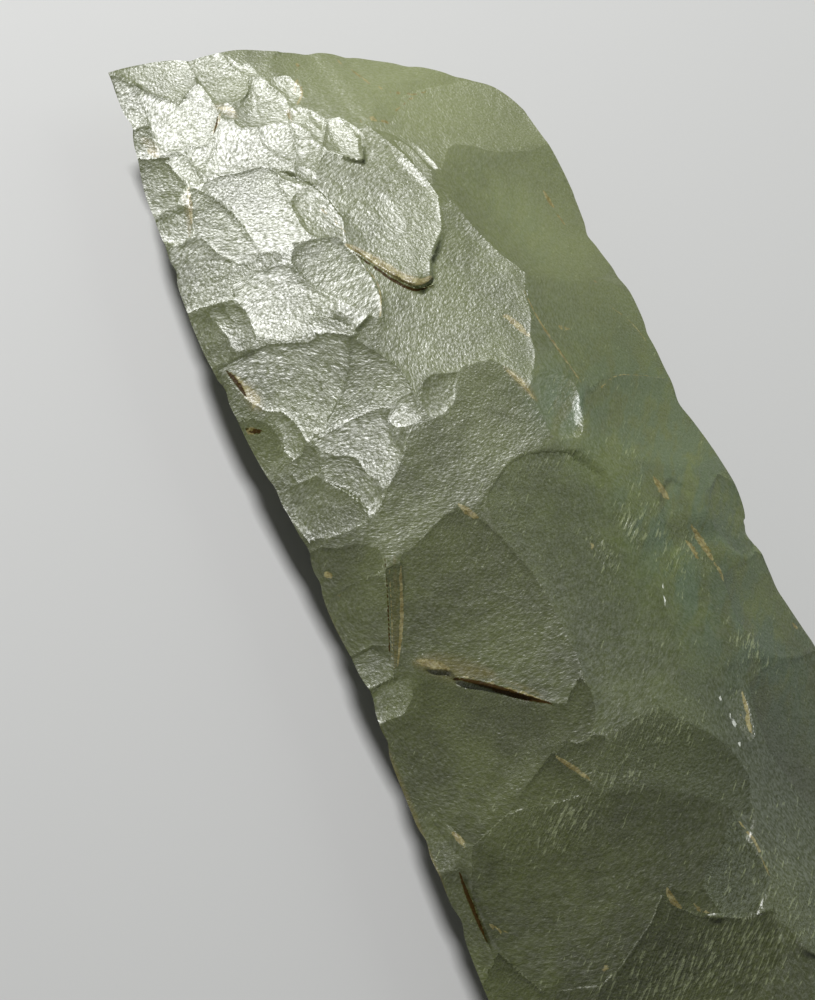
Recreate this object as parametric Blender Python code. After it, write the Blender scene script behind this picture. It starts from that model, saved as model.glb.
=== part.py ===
"""Knapped jasper celt lying on its flatter face.

One solid stone blade. +Y points to the skewed, sharp bit, -Y to the rounded poll, +X to the
right-hand side seen from above and +Z up, away from the face that the celt rests on. The
origin is on the resting plane, under the middle of the celt's box.

The carving is drawn on a plan of 67.3 by 200 millimetres and follows the real sizes below: a
plan x is stretched to WIDTH, a plan y to LENGTH and a plan height to THICKNESS.
"""
import math
from collections import namedtuple

import bmesh
import bpy
import numpy as np

# Real sizes in metres
LENGTH = 0.2000
WIDTH = 0.0673
THICKNESS = 0.0232
EDGE_HEIGHT = 0.0106      # the sharp edge above the resting face

# The plan that the carving is drawn on, in millimetres
PLAN_LENGTH = 200.0
PLAN_WIDTH = 67.3
PLAN_MIDDLE = -0.17      # the plan x that lies over the origin
PLAN_THICKNESS = 23.2
PLAN_EDGE = PLAN_THICKNESS * EDGE_HEIGHT / THICKNESS
BIT_BEVEL = 52.0          # how far from the bit the blade starts to thin
POLL_BEVEL = 30.0
BELLY = 0.8               # how far the blank's belly reaches below the resting flat
UPPER_BOW = 0.08          # how much of its height each face loses towards the ends
UNDER_BOW = 0.25
EDGE_SLOPE = 0.12         # least rise of either face away from the edge
EDGE_DIP = 1.6            # how far the sharp edge may wander down and up
EDGE_RISE = 1.2

TRIANGLES = 9400
ROWS, COLUMNS = 420, 140

# The sides: plan y, plan x. The ends: plan x, plan y. Both run past the corners.
LEFT_SIDE = [(-104, -15), (-97, -20), (-88, -26.5), (-76, -31), (-60, -33.4), (-44, -33.7),
             (-33, -33.0), (-20, -32.7), (-9, -32.0), (-2, -31.2), (12, -31.4), (20, -30.7),
             (33, -31.3), (44, -31.9), (58, -32.0), (70, -30.8), (80, -29.8), (88, -28.2),
             (93, -27.7), (104, -27.5)]
RIGHT_SIDE = [(-104, 13), (-97, 18.5), (-88, 25), (-76, 29.6), (-60, 32), (-40, 33), (-14, 32.7),
              (-7, 32.1), (0, 32.3), (6, 33.3), (17, 33.0), (25, 31.9), (34, 32.4), (41, 32.7),
              (53, 31.4), (61, 32.0), (70, 32.0), (77, 31.4), (84, 30.6), (104, 30)]
BIT_EDGE = [(-34, 99.6), (-27.5, 99.9), (-20, 100.0), (-14, 99.0), (-7, 98.5), (-1, 96.0),
            (4, 94.7), (12, 90.9), (20, 87.0), (25, 83.6), (29, 80.6), (31.4, 76.6), (34, 70)]
POLL_EDGE = [(-30, -90), (-20, -95.6), (-12, -98.8), (-2, -100), (8, -99.4), (17, -96), (28, -88)]

# Small bites in the outline: plan x, plan y, width along the edge, depth
BITES = [(31.4, 2.6, 4.4, 1.7), (31.2, 24.0, 3.6, 0.7), (31.2, 53.6, 3.0, 0.6),
         (32.5, -7.0, 3.5, 0.3), (32.2, 36.0, 2.4, 0.3), (31.8, 45.5, 2.6, 0.3),
         (-31.0, 66.5, 2.6, 0.4), (-28.0, 91.0, 3.4, 0.5), (-32.0, 47.0, 3.0, 0.4),
         (-31.3, 31.0, 3.5, 0.3), (-30.5, 21.0, 3.0, 0.35), (-31.3, 16.0, 2.5, 0.3),
         (-31.0, -1.5, 4.0, 0.4), (-32.5, -8.0, 2.6, 0.5), (-32.4, -22.5, 3.2, 0.4),
         (-33.0, -34.0, 3.4, 0.45), (-15.0, 99.4, 2.4, 0.5), (2.5, 95.0, 3.0, 0.5),
         (8.0, 92.6, 2.6, 0.4), (16.5, 88.6, 3.0, 0.4), (23.0, 85.0, 2.6, 0.3),
         (-33.4, -58.0, 4.0, 0.6), (-31.0, -77.0, 4.0, 0.6), (-24.0, -91.0, 4.0, 0.5),
         (32.6, -30.0, 4.0, 0.6), (32.4, -52.0, 4.5, 0.7), (29.5, -76.0, 4.0, 0.6),
         (20.0, -94.0, 4.0, 0.5), (-6.0, -100.0, 4.5, 0.5), (9.0, -99.4, 4.0, 0.4)]

# A flake scar: its middle on the plan, the way the flake ran (0 is +X, 90 is +Y), its length
# and width, how far it dips under a film stretched over its rim, how flat that film is (0
# keeps the blank's own curve), how far its far end drops, how much wider its far end is, the
# height and pitch of its ripples, and how softly it meets its rim
Scar = namedtuple("Scar", "x y turn long wide deep flat lean flare ripple pitch soft",
                  defaults=(0.4, 0.0, 0.0, 0.0, 2.0, 0.12))
TRACE_STEPS = 6001
PLAN_PASSES = 24          # passes that settle a plan point between the four edges
RIM_LOBES = 0.055         # how uneven a rim is
RIM_SQUARE = 0.12         # how far a scar's ellipse is squared
SQUARE_RIM = 0.97         # keeps a squared rim within its length and width
RIM_POINTS = 48           # places round a scar's rim that carry its film
CORNER_POINTS = 6         # the same on each side of a drawn rim
FILM_WAVES = 4            # most waves round the rim that a film follows
HEEL = 0.3                # how much deeper a scar is near its start than near its end
WARPS = ((12.0, 0.8), (5.0, 0.5), (1.7, 0.2))

# The upper face, oldest scar first
UPPER_SCARS = [
    # broad first flakes, poll to bit
    Scar(-16, -74, 10, 40, 40, 0.5),
    Scar(17, -74, 172, 36, 40, 0.5),
    Scar(0, -90, 90, 26, 30, 0.4),
    Scar(-14, 84, 280, 36, 36, 0.3, 0.7),
    Scar(21, -34, 180, 36, 34, 0.4),
    Scar(13, 4, 190, 36, 38, 0.15, 0.25, 0, 0, 0.03, 3.0),
    Scar(3, 88, 265, 22, 18, 0.2, 0.3),
    Scar(18, 92, 250, 22, 34, 0.15, 0.3),
    Scar(18, 72, 196, 34, 27, 0.25, 0.3),
    Scar(22, 56, 176, 26, 33, 0.3, 0.3, 0, 0, 0.06, 3.4),
    Scar(23, 36, 182, 23, 20, 0.3, 0.3),
    Scar(21.5, 17, 180, 27, 25, 0.3, 0.3),
    Scar(29.5, 4, 186, 11, 12, 0.4, 0.5),
    Scar(28, -9.5, 178, 15, 16, 0.25, 0.4),
    # the middle and the left, bit end
    Scar(-15, 62, 0, 30, 34, 0.3, 0.6),
    Scar(-2, 36, 10, 34, 34, 0.2, 0.3),
    Scar(-19, 54, 0, 18, 18, 0.2, 0.5),
    # the lower middle
    Scar(0, 4, 10, 32, 33, 0.35, 0.4, 0, 0, 0.03, 3.0),
    Scar(-14, 2, 8, 29, 31, 0.3, 0.5),
    Scar(8, 24.6, 250, 10, 7, 0.6, 0.8),
    Scar(-17, -5.5, 4, 23, 29, 0.25, 0.5),
    Scar(-13, -38.5, 4, 42, 27, 0.3, 0.35),
    Scar(-22, -13, 12, 26, 26, 0.3, 0.6),
    Scar(-9.6, -16, 285, 8, 6, 0.15, 0.8),
    Scar(-15.4, -22.8, 300, 8, 5, 0.25, 0.8),
    Scar(-12, -60, 8, 40, 24, 0.5),
    Scar(0, -44.6, 80, 13, 9.5, 0.3, 0.5),
    # short flakes that trimmed the left edge, bit to poll
    Scar(-26.8, 94.6, 0, 4, 8, 0.4, 0.9),
    Scar(-27, 87.4, 0, 6.5, 6, 0.3, 0.9),
    Scar(-27, 81, 0, 8, 8.5, 0.4, 0.9),
    Scar(-28.4, 73, 0, 6, 7, 0.4, 0.9),
    Scar(-27.4, 55, 0, 6, 7.5, 0.25, 0.9),
    Scar(-30, 57.4, 0, 5.5, 8.5, 0.4, 0.9),
    Scar(-30.2, 45, 0, 4, 8, 0.4, 0.9),
    Scar(-27.4, 37.2, 0, 8, 7.5, 0.4, 0.9),
    Scar(-28.6, 30, 0, 6.5, 8, 0.4, 0.9),
    Scar(-27, 16.4, 0, 10, 8.4, 0.6, 0.9),
    Scar(-28.6, 9, 0, 7, 7.4, 0.5, 0.9),
    Scar(-29.6, 2.8, 0, 5, 5.2, 0.4, 0.9),
    Scar(-29.4, -3, 0, 6.4, 6, 0.4, 0.9),
    Scar(-31.6, -24, 0, 4.4, 7, 0.4, 0.9),
    Scar(-31.8, -33, 0, 4.2, 11, 0.6, 0.9),
    Scar(-31.8, -44, 0, 5.6, 8, 0.5, 0.9),
]

# Facets with a drawn rim: the rim's points, the way the facet leans down, how far it drops
# on that way, how far it dips, and how wide the break at its rim is
Facet = namedtuple("Facet", "rim turn lean deep wall", defaults=(0.1, 0.35))
FACET_WARP = 0.25         # the share of the plan's warp that a drawn rim takes
FACET_STEP = 0.06         # the share of a facet's drop that shows as a step at its rim
FACET_BREAK = 2.2         # how much wider that step is than the plain break
UPPER_FACETS = [
    # the skewed bit's left corner
    Facet([(-26.8, 100), (-24.8, 97.2), (-23, 95), (-21.2, 93), (-19.6, 92.8), (-17.5, 93.6),
           (-16, 94.8), (-15.4, 96.5), (-15.2, 99.8), (-20, 101)], 140, 0.95, 0.35),
    Facet([(-27.6, 99.6), (-26, 98), (-24.9, 96.4), (-24.6, 94), (-25, 91.5), (-26, 90.2),
           (-29, 90.3), (-28.6, 95)], 135, 0.75, 0.2),
    Facet([(-25.2, 97), (-22, 93.6), (-20, 91.6), (-18, 93.2), (-16.6, 94.2), (-15.6, 94.4),
           (-15.2, 92), (-15.1, 90), (-15.2, 87.8), (-16.2, 86.2), (-17.3, 84.6), (-18.5, 83.6),
           (-20, 83.2), (-21.5, 84.3), (-23, 84.3), (-25, 84.8), (-25.6, 87), (-25.3, 90),
           (-25.2, 93)], 140, 0.7, 0.3),
    Facet([(-15.5, 99.4), (-15.5, 94.6), (-15.2, 92), (-15.1, 89.8), (-14, 89.4), (-11, 88.9),
           (-9, 90.5), (-8.5, 92), (-8.4, 93.6), (-9.7, 95.2), (-9.8, 98.8)], 130, 0.9, 0.35),
    Facet([(-8.6, 92.4), (-7.4, 92.8), (-6.6, 92.2), (-6.2, 90.4), (-5.4, 88.6), (-5, 86.6),
           (-5.4, 85), (-6.2, 83.6), (-7, 82), (-8, 82.6), (-9.6, 83), (-11, 82.9),
           (-12.2, 83.5), (-13.4, 84), (-13.8, 85.4), (-13.2, 86.6), (-12.6, 88.8),
           (-11.4, 88.8), (-10, 89.6), (-9, 90.8)], 230, 0.4, 0.55),
    # the bright step below it
    Facet([(-15.3, 86.9), (-16.5, 85.5), (-17.6, 84.4), (-18.4, 82.4), (-19.2, 81.2),
           (-20.6, 80.2), (-21.9, 79.2), (-21.6, 78.2), (-19.5, 77.6), (-17.5, 77),
           (-15.5, 76.7), (-14, 76.5), (-13.2, 76.5), (-12.6, 75.2), (-11, 74.5), (-10, 74.6),
           (-9.2, 75.6), (-8.2, 77), (-7.5, 78.4), (-7.3, 80), (-7, 81.6), (-8, 82.6),
           (-9.6, 83), (-11, 82.9), (-12.2, 83.5), (-13.4, 84), (-13.9, 85.4), (-15, 86.4)],
          160, 0.6, 0.12),
    Facet([(-24.4, 77.6), (-23.2, 76.4), (-22, 74.2), (-21, 71.6), (-20.4, 69), (-20.1, 66),
           (-20, 63.4), (-21.6, 62.4), (-23, 63), (-25, 65.6), (-25.8, 68), (-26.8, 70.4),
           (-26, 73), (-25.4, 75.6)], 245, 0.25, 0.25),
    Facet([(-23.2, 76.6), (-21.8, 78), (-19.5, 77.5), (-17.5, 76.9), (-15.5, 76.6), (-14, 76.4),
           (-13.2, 76.2), (-12.4, 74.6), (-12.9, 72.4), (-12.6, 70.4), (-13, 68), (-13.6, 64),
           (-14, 62.4), (-17, 62.4), (-20, 63.4), (-20.1, 66), (-20.4, 69), (-21, 71.6),
           (-22, 74.2)], 215, 0.1, 0.2),
    # the leaf-shaped scar with the brown ledge at its foot, and its neighbours
    Facet([(-5, 75.2), (-7, 73.4), (-7.8, 72.2), (-8.8, 70.4), (-8.4, 68), (-8, 65.5),
           (-7.9, 63), (-8.7, 61), (-9.2, 59), (-8.2, 57), (-7, 54.8), (-5.8, 52.6),
           (-4.6, 50.8), (-3.4, 49.6), (-2.2, 50), (-1, 51), (0.2, 52.2), (1.2, 53.6),
           (2.6, 55), (3.8, 56), (4.6, 57.6), (5.2, 59), (6.2, 61), (6.6, 62.6), (6.6, 65),
           (6.2, 68), (5.6, 71), (4.4, 74), (3.2, 77), (1.6, 77.6), (0.8, 75), (-0.8, 71.6),
           (-3, 73)], 110, 0.2, 0.3, 0.5),
    Facet([(-13, 69), (-11.5, 70.4), (-10, 70.8), (-9, 70), (-8.4, 67.5), (-8, 65), (-8, 63),
           (-8.7, 61.5), (-9.4, 60), (-9.8, 59.2), (-10, 60.8), (-11.4, 61.6), (-12.8, 62.4),
           (-13.4, 65)], 25, 0.75, 0.15),
    Facet([(-1.6, 80.8), (0.3, 80.6), (1.2, 78.6), (1.7, 77), (1.2, 75.4), (0.2, 73.4),
           (-0.4, 72), (-1, 71.2), (-2, 72), (-3, 73), (-4, 74.6), (-4.8, 76.2), (-3.8, 77.6),
           (-2.6, 79.2)], 190, 0.9, 0.5, 0.3),
    # the right-hand side, bit to poll
    Facet([(2, 78), (4.5, 77.8), (7.2, 77.2), (10.4, 79.8), (12, 82), (15, 83), (19, 83.2),
           (24, 83.6), (29, 81), (33, 77), (33, 70), (28, 69), (22, 69.4), (18, 71),
           (15.5, 71.6), (13.4, 70.6), (11.6, 68.4), (9.9, 67), (8.8, 70), (6.5, 74.4),
           (3.4, 77)], 170, 0.7, 0.3, 1.2),
    Facet([(9.6, 66), (11.8, 68.4), (13.6, 70.4), (15.5, 71.4), (18, 71), (22, 69.4),
           (26, 67), (30, 64), (33.6, 61), (33.6, 50), (30, 46), (25, 44.6), (20, 44),
           (14, 46), (11.2, 50), (9.2, 56), (8.8, 61)], 165, 0.5, 0.35, 1.2),
    Facet([(11, 40.6), (12.2, 37), (13, 34), (13.3, 30.4), (14.6, 27), (17, 28), (20, 28.6),
           (25, 28.2), (33.6, 27.6), (34, 42), (28, 45), (22, 44.6), (16, 46), (13.4, 46.4),
           (11.6, 43.6)], 160, 0.8, 0.3, 1.0),
    Facet([(15, 26.4), (17, 27.8), (20, 28.4), (25, 28), (33.6, 27.4), (34, 15), (30, 13.6),
           (26, 12.4), (22, 13), (16.6, 15), (12, 18), (10.6, 21), (11.6, 24), (13, 26)],
          160, 0.3, 0.35, 1.0),
    Facet([(5, 29.4), (6.4, 30.6), (9, 31.2), (11.6, 29.6), (12.2, 27.4), (11.4, 25),
           (10.6, 22.6), (9.4, 21), (8, 20.2), (5.5, 20.4), (4.8, 23), (4.6, 26)],
          150, 0.7, 0.5, 0.5),
    Facet([(24.8, 4), (25.6, 6.4), (27, 8.6), (29, 10.2), (31, 11.6), (34, 9.6), (34, 4),
           (32, 0), (28, -2), (26, 0)], 350, 0.6, 0.35, 0.4),
    Facet([(21.4, -4), (24, -3), (28, -2.4), (31, -1), (34, -3), (34, -15), (31, -17),
           (28, -17.6), (24, -17.8), (21, -16), (19.6, -11)], 330, 0.3, 0.3, 0.5),
    # the middle plates above and below the cracked ledge
    Facet([(-23.6, 0.4), (-21.6, -2.6), (-21, -4.6), (-18, -7.4), (-15, -10.2),
           (-12.2, -13.2), (-10.4, -14.2), (-9.6, -13.4), (-7.8, -12), (-6.8, -11),
           (-6.2, -8), (-5.9, -4), (-5.8, 0), (-6.2, 4), (-7.5, 9), (-9.8, 13.6),
           (-12, 16.6), (-15.5, 15.6), (-18, 14.6), (-21, 13.8), (-22, 10), (-24, 5.6),
           (-26, 0.6)], 250, 0.6, 0.15, 0.5),
    Facet([(-6, 3), (-5.8, 0), (-5.9, -4), (-6.2, -8), (-6.8, -11), (-6.8, -14),
           (-7.6, -17), (-9.4, -19.4), (-6, -20), (-2, -19.6), (3, -18.6), (6, -17),
           (8, -12), (9, -6), (10.4, 0), (11, 6), (10.2, 11), (8.6, 15), (5.6, 18.4),
           (3, 19.2), (0, 19.8), (-3.4, 19.4), (-5.4, 18), (-7.6, 16.4), (-8.6, 12),
           (-7.2, 7)], 320, 0.3, 0.2, 0.5),
    Facet([(-24.6, -0.4), (-23.4, -2), (-21.6, -3.2), (-21.2, -4.8), (-18.4, -7.4),
           (-15.2, -10.4), (-12.2, -13.2), (-12.2, -16), (-12, -19), (-14.6, -19.8),
           (-17, -21.4), (-20, -22.8), (-23, -24.4), (-26, -25.4), (-28, -26),
           (-28.8, -25), (-29.4, -22.4), (-30.4, -20), (-32.6, -16), (-33, -10), (-32, -6),
           (-28, -4), (-26, -2)], 220, 0.9, 0.3, 1.3),
    Facet([(-12.4, -26.6), (-10.8, -23), (-8, -20.8), (-3, -19.8), (1, -20), (3, -22),
           (5.6, -25), (8, -28), (9, -32), (6, -37.4), (4.4, -36), (0, -32), (-6, -29)],
          270, 0.55, 0.1, 1.4),
    Facet([(-28.4, -26.2), (-26, -25.6), (-23, -24.6), (-19, -25), (-17, -26), (-12, -26.2),
           (-6, -28.6), (0, -31.6), (4.2, -35.6), (4, -36.4), (2, -37.4), (0.8, -39.4),
           (-0.5, -40.4), (-2.6, -41.2), (-4.6, -43.4), (-6, -44.6), (-9.2, -41.6),
           (-12.8, -44.8), (-16, -46.6), (-19, -48.6), (-22, -49.6), (-28, -47),
           (-30.4, -40), (-30.4, -32)], 275, 0.8, 0.1, 1.5),
    Facet([(-5.2, -45), (-4.6, -43.4), (-2.6, -41.2), (-0.5, -40.2), (1.4, -38.2),
           (2.6, -37), (4, -36.6), (3.8, -40), (4.8, -45.6), (3.4, -47.4), (1.6, -49),
           (-1, -49.4), (-4, -48.4)], 325, 1.4, 0.3, 0.5),
    # the broad middle facet beside it
    Facet([(-9.8, 45.6), (-9, 49), (-8.7, 53), (-8.6, 57), (-7, 54.6), (-5.6, 52),
           (-4, 49.6), (-2.6, 48.4), (-1, 49), (0.4, 52), (2.8, 54.8), (4.8, 57), (6.2, 60),
           (8, 62), (9.2, 56), (11, 50.4), (13.4, 46.6), (11.6, 43.4), (11, 40.4),
           (9.2, 37), (8.6, 34), (6.4, 31), (5, 29.6), (3.6, 33), (2, 35.2), (-2, 35.6),
           (-3.4, 35), (-5.2, 35.4), (-6.8, 36.2), (-8.6, 35.6), (-10.4, 34.4),
           (-10.6, 38.2), (-11.4, 40.2), (-12.6, 42)], 135, 0.5, 0.2, 0.7),
    # the round scar on the left, mid length
    Facet([(-31.4, 50.3), (-29, 50), (-25, 49.9), (-23.4, 49.3), (-21.5, 48.2), (-20, 47.2),
           (-18.6, 47.8), (-17, 47.2), (-15.4, 45.6), (-14.2, 44), (-12.8, 42), (-11.6, 40.2),
           (-10.8, 38.4), (-10.5, 36), (-10.6, 34), (-10.9, 32), (-11.6, 30.6), (-12.6, 30),
           (-14, 28.6), (-15.5, 26.6), (-17, 25), (-18.8, 23.4), (-20, 22), (-21.3, 20.9),
           (-23, 20.3), (-26, 20.6), (-30, 22), (-32, 30), (-32, 40)], 340, 0.3, 0.45, 0.6),
]

# Ledges where a flake broke off short: the points of the ledge line, with the stone lower on
# the line's right-hand side, the ledge's height, how far the low side takes to rise again,
# the depth of the crack at its foot, and how wide the ledge's own slope is
Ledge = namedtuple("Ledge", "line high reach crack wide", defaults=(0.3,))
UPPER_LEDGES = [
    Ledge([(0.6, 49.6), (-1.2, 48.7), (-3, 48.7), (-5, 50.6), (-6.8, 53.4), (-8.2, 56.6),
           (-9.6, 59.2)], 0.75, 7.0, 0.5),
    Ledge([(-24.6, -0.4), (-23.6, -1.9), (-21.4, -3.4), (-20.9, -5), (-18.4, -7.2),
           (-15, -10.4), (-12, -13.2)], 0.6, 7.0, 0.12, 0.45),
]
CRACK_WIDTH = 0.4
LEDGE_BLEND = 0.05        # how near a ledge's line its pieces still blend into one
LEDGE_FADE = 0.2          # the share of a ledge's length over which each end dies away
LEDGE_POINTS = 6          # points on the smooth line for each one drawn
EDGE_SPREAD = 5.0         # how far in from the sharp edge its wander still shifts the underside
EDGE_CALM = 2.5           # how far in from the sharp edge the underside's scars are still shallow


def flow(at, knots):
    """A smooth curve through the knots, read at the places in at."""
    place, value = np.array(knots, float).T
    slope = np.gradient(value, place)
    at = np.clip(at, place[0], place[-1])
    i = np.clip(np.searchsorted(place, at) - 1, 0, len(place) - 2)
    span = place[i + 1] - place[i]
    t = (at - place[i]) / span
    rise = value[i + 1] - value[i]
    back = slope[i] * span - rise
    ahead = rise - slope[i + 1] * span
    return value[i] + t * rise + t * (1 - t) * (back * (1 - t) + ahead * t)


def wobble(x, y, size, seed):
    """Smooth noise from -1 to 1 with bumps about size apart."""
    cells = 128
    lattice = np.random.default_rng(seed).uniform(-1, 1, (cells, cells))
    gx, gy = x / size + cells, y / size + cells
    ix, iy = np.floor(gx).astype(int), np.floor(gy).astype(int)
    fx, fy = gx - ix, gy - iy
    fx, fy = fx * fx * (3 - 2 * fx), fy * fy * (3 - 2 * fy)
    ix, iy, jx, jy = ix % cells, iy % cells, (ix + 1) % cells, (iy + 1) % cells
    low = lattice[ix, iy] * (1 - fx) + lattice[jx, iy] * fx
    high = lattice[ix, jy] * (1 - fx) + lattice[jx, jy] * fx
    return low * (1 - fy) + high * fy


def ease(t):
    """0 below 0, 1 above 1 and smooth between."""
    t = np.clip(t, 0, 1)
    return t * t * (3 - 2 * t)


def bite(x, y):
    """How far the outline is bitten in at a plan point near it."""
    total = np.zeros(np.broadcast(x, y).shape)
    for bx, by, width, depth in BITES:
        total += depth * np.exp(-((x - bx) ** 2 + (y - by) ** 2) / (width / 2) ** 2)
    return total


def side(y, knots):
    """A side edge's plan x at y, with its bites."""
    x = flow(y, knots)
    return x - np.sign(x) * bite(x, y)


def end(x, knots):
    """An end edge's plan y at x, with its bites."""
    y = flow(x, knots)
    return y - np.sign(y) * bite(x, y)


def traced(curve, reach):
    """A curve drawn once at close steps from -reach to reach, to be read quickly."""
    places = np.linspace(-reach, reach, TRACE_STEPS)
    values = curve(places)
    return lambda at: np.interp(at, places, values)


left_side = traced(lambda y: side(y, LEFT_SIDE), PLAN_LENGTH)
right_side = traced(lambda y: side(y, RIGHT_SIDE), PLAN_LENGTH)
poll_edge = traced(lambda x: end(x, POLL_EDGE), PLAN_WIDTH)
bit_edge = traced(lambda x: end(x, BIT_EDGE), PLAN_WIDTH)


def plan_point(s, t):
    """The plan point at share s from the left side to the right and t from poll to bit."""
    y = PLAN_LENGTH * (t - 0.5)
    for _ in range(PLAN_PASSES):
        left, right = left_side(y), right_side(y)
        x = left + (right - left) * s
        poll, bit = poll_edge(x), bit_edge(x)
        y = poll + (bit - poll) * t
    return x, y


def margins(x, y):
    """Distances from the left side, the right side, the poll and the bit."""
    return x - left_side(y), right_side(y) - x, y - poll_edge(x), bit_edge(x) - y


def swell(x, y):
    """The unworked blank's fullness: 1 along its crest, 0 at the edge, below 0 outside."""
    left, right, poll, bit = margins(x, y)
    across = 4 * left * right / (left + right) ** 2
    to_bit = 1 - (1 - np.clip(bit / BIT_BEVEL, -0.2, 1)) ** 2
    to_poll = 1 - (1 - np.clip(poll / POLL_BEVEL, -0.2, 1)) ** 2
    outside = np.minimum(np.minimum(across, to_bit), to_poll)
    return np.where(outside < 0, outside, across * to_bit * to_poll)


def bow(y, share):
    """1 at mid length, and less by that share at either end."""
    return 1 - share * (2 * y / PLAN_LENGTH) ** 2


def upper_blank(x, y):
    return PLAN_EDGE + (PLAN_THICKNESS - PLAN_EDGE) * swell(x, y) * bow(y, UPPER_BOW)


def under_blank(x, y):
    return PLAN_EDGE - (PLAN_EDGE + BELLY) * swell(x, y) * bow(y, UNDER_BOW)


def film(a, b):
    """Smooth shapes that a film over a round rim can take, up to four waves round the rim."""
    w = a + 1j * b
    waves = [np.ones_like(a)]
    for power in range(1, FILM_WAVES + 1):
        waves += [(w ** power).real, (w ** power).imag]
    return np.stack(waves, -1)


class Cut:
    """A scar at work: the shape of its rim and the film that is stretched over it."""

    def __init__(self, scar, seed):
        self.scar = scar
        self.cos = math.cos(math.radians(scar.turn))
        self.sin = math.sin(math.radians(scar.turn))
        self.lobes = np.random.default_rng(seed).uniform(-1, 1, (5, 2)) * RIM_LOBES
        self.reach = 0.7 * max(scar.long, scar.wide) * (1 + abs(scar.flare))

    def rim(self, angle):
        """The rim's radius at an angle round it, as a share of the plain ellipse's."""
        radius = 1.0 + 0.0 * angle
        for wave, (even, odd) in enumerate(self.lobes, 2):
            radius = radius + even * np.cos(wave * angle) + odd * np.sin(wave * angle)
        square = np.power(np.cos(angle) ** 4 + np.sin(angle) ** 4, RIM_SQUARE)
        return radius * SQUARE_RIM / square

    def place(self, x, y):
        """A plan point in the scar's own frame, where it runs from -1 to 1 each way."""
        dx, dy = x - self.scar.x, y - self.scar.y
        a = (dx * self.cos + dy * self.sin) / (self.scar.long / 2)
        b = (dy * self.cos - dx * self.sin) / (self.scar.wide / 2)
        return a, b / np.maximum(1 + self.scar.flare * a, 0.2)

    def inset(self, x, y, wx, wy):
        """How far inside the rim a plan point lies, in widths of the break; wx, wy warped."""
        a, b = self.place(wx, wy)
        return (1 - (a * a + b * b) / self.rim(np.arctan2(b, a)) ** 2) / self.scar.soft

    def ring(self):
        """Points round the rim, in the scar's frame and on the plan."""
        angle = np.linspace(0, 2 * math.pi, RIM_POINTS, endpoint=False)
        radius = self.rim(angle)
        a, b = radius * np.cos(angle), radius * np.sin(angle)
        along = a * self.scar.long / 2
        across = b * (1 + self.scar.flare * a) * self.scar.wide / 2
        x = self.scar.x + along * self.cos - across * self.sin
        y = self.scar.y + along * self.sin + across * self.cos
        return a, b, x, y

    def drop(self, a, b):
        """How far the scar lies under its film."""
        scar = self.scar
        far = np.minimum(a * a + b * b, 1)
        drop = scar.deep * (1 - far) * (1 - HEEL * a) + scar.lean * (1 + a) / 2
        if scar.ripple:
            run = np.hypot((a + 1) * scar.long / 2, b * scar.wide / 2)
            drop = drop + scar.ripple * np.sin(2 * math.pi * run / scar.pitch) * (1 - far)
        return drop


class FacetCut(Cut):
    """A facet at work: a cut whose rim is drawn point by point."""

    def __init__(self, facet):
        corners = np.array(facet.rim, float)
        self.start = corners
        self.side = np.roll(corners, -1, axis=0) - corners
        turn = math.radians(facet.turn)
        self.cos, self.sin = math.cos(turn), math.sin(turn)
        middle = corners.mean(0)
        along = (corners - middle) @ (self.cos, self.sin)
        across = (corners - middle) @ (-self.sin, self.cos)
        aside = (along.max() + along.min()) / 2, (across.max() + across.min()) / 2
        x = middle[0] + aside[0] * self.cos - aside[1] * self.sin
        y = middle[1] + aside[0] * self.sin + aside[1] * self.cos
        self.scar = Scar(x, y, facet.turn, np.ptp(along), np.ptp(across), facet.deep, 1.0,
                         facet.lean * FACET_STEP)
        self.wall = facet.wall * FACET_BREAK
        self.reach = np.hypot(*(corners - (x, y)).T).max() + 1

    def ring(self):
        share = np.linspace(0, 1, CORNER_POINTS, endpoint=False)[:, None, None]
        x, y = (self.start + share * self.side).reshape(-1, 2).T
        return *self.place(x, y), x, y

    def inset(self, x, y, wx, wy):
        x, y = x + FACET_WARP * (wx - x), y + FACET_WARP * (wy - y)
        gap = np.full(x.shape, 1e9)
        inside = np.zeros(x.shape, bool)
        for (x0, y0), (sx, sy) in zip(self.start, self.side):
            dx, dy = x - x0, y - y0
            t = np.clip((dx * sx + dy * sy) / (sx * sx + sy * sy), 0, 1)
            gap = np.minimum(gap, np.hypot(dx - t * sx, dy - t * sy))
            crosses = (dy < 0) != (dy < sy)
            if sy:
                inside ^= crosses & (dx < dy * sx / sy)
        return np.where(inside, gap, 0) / self.wall


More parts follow.
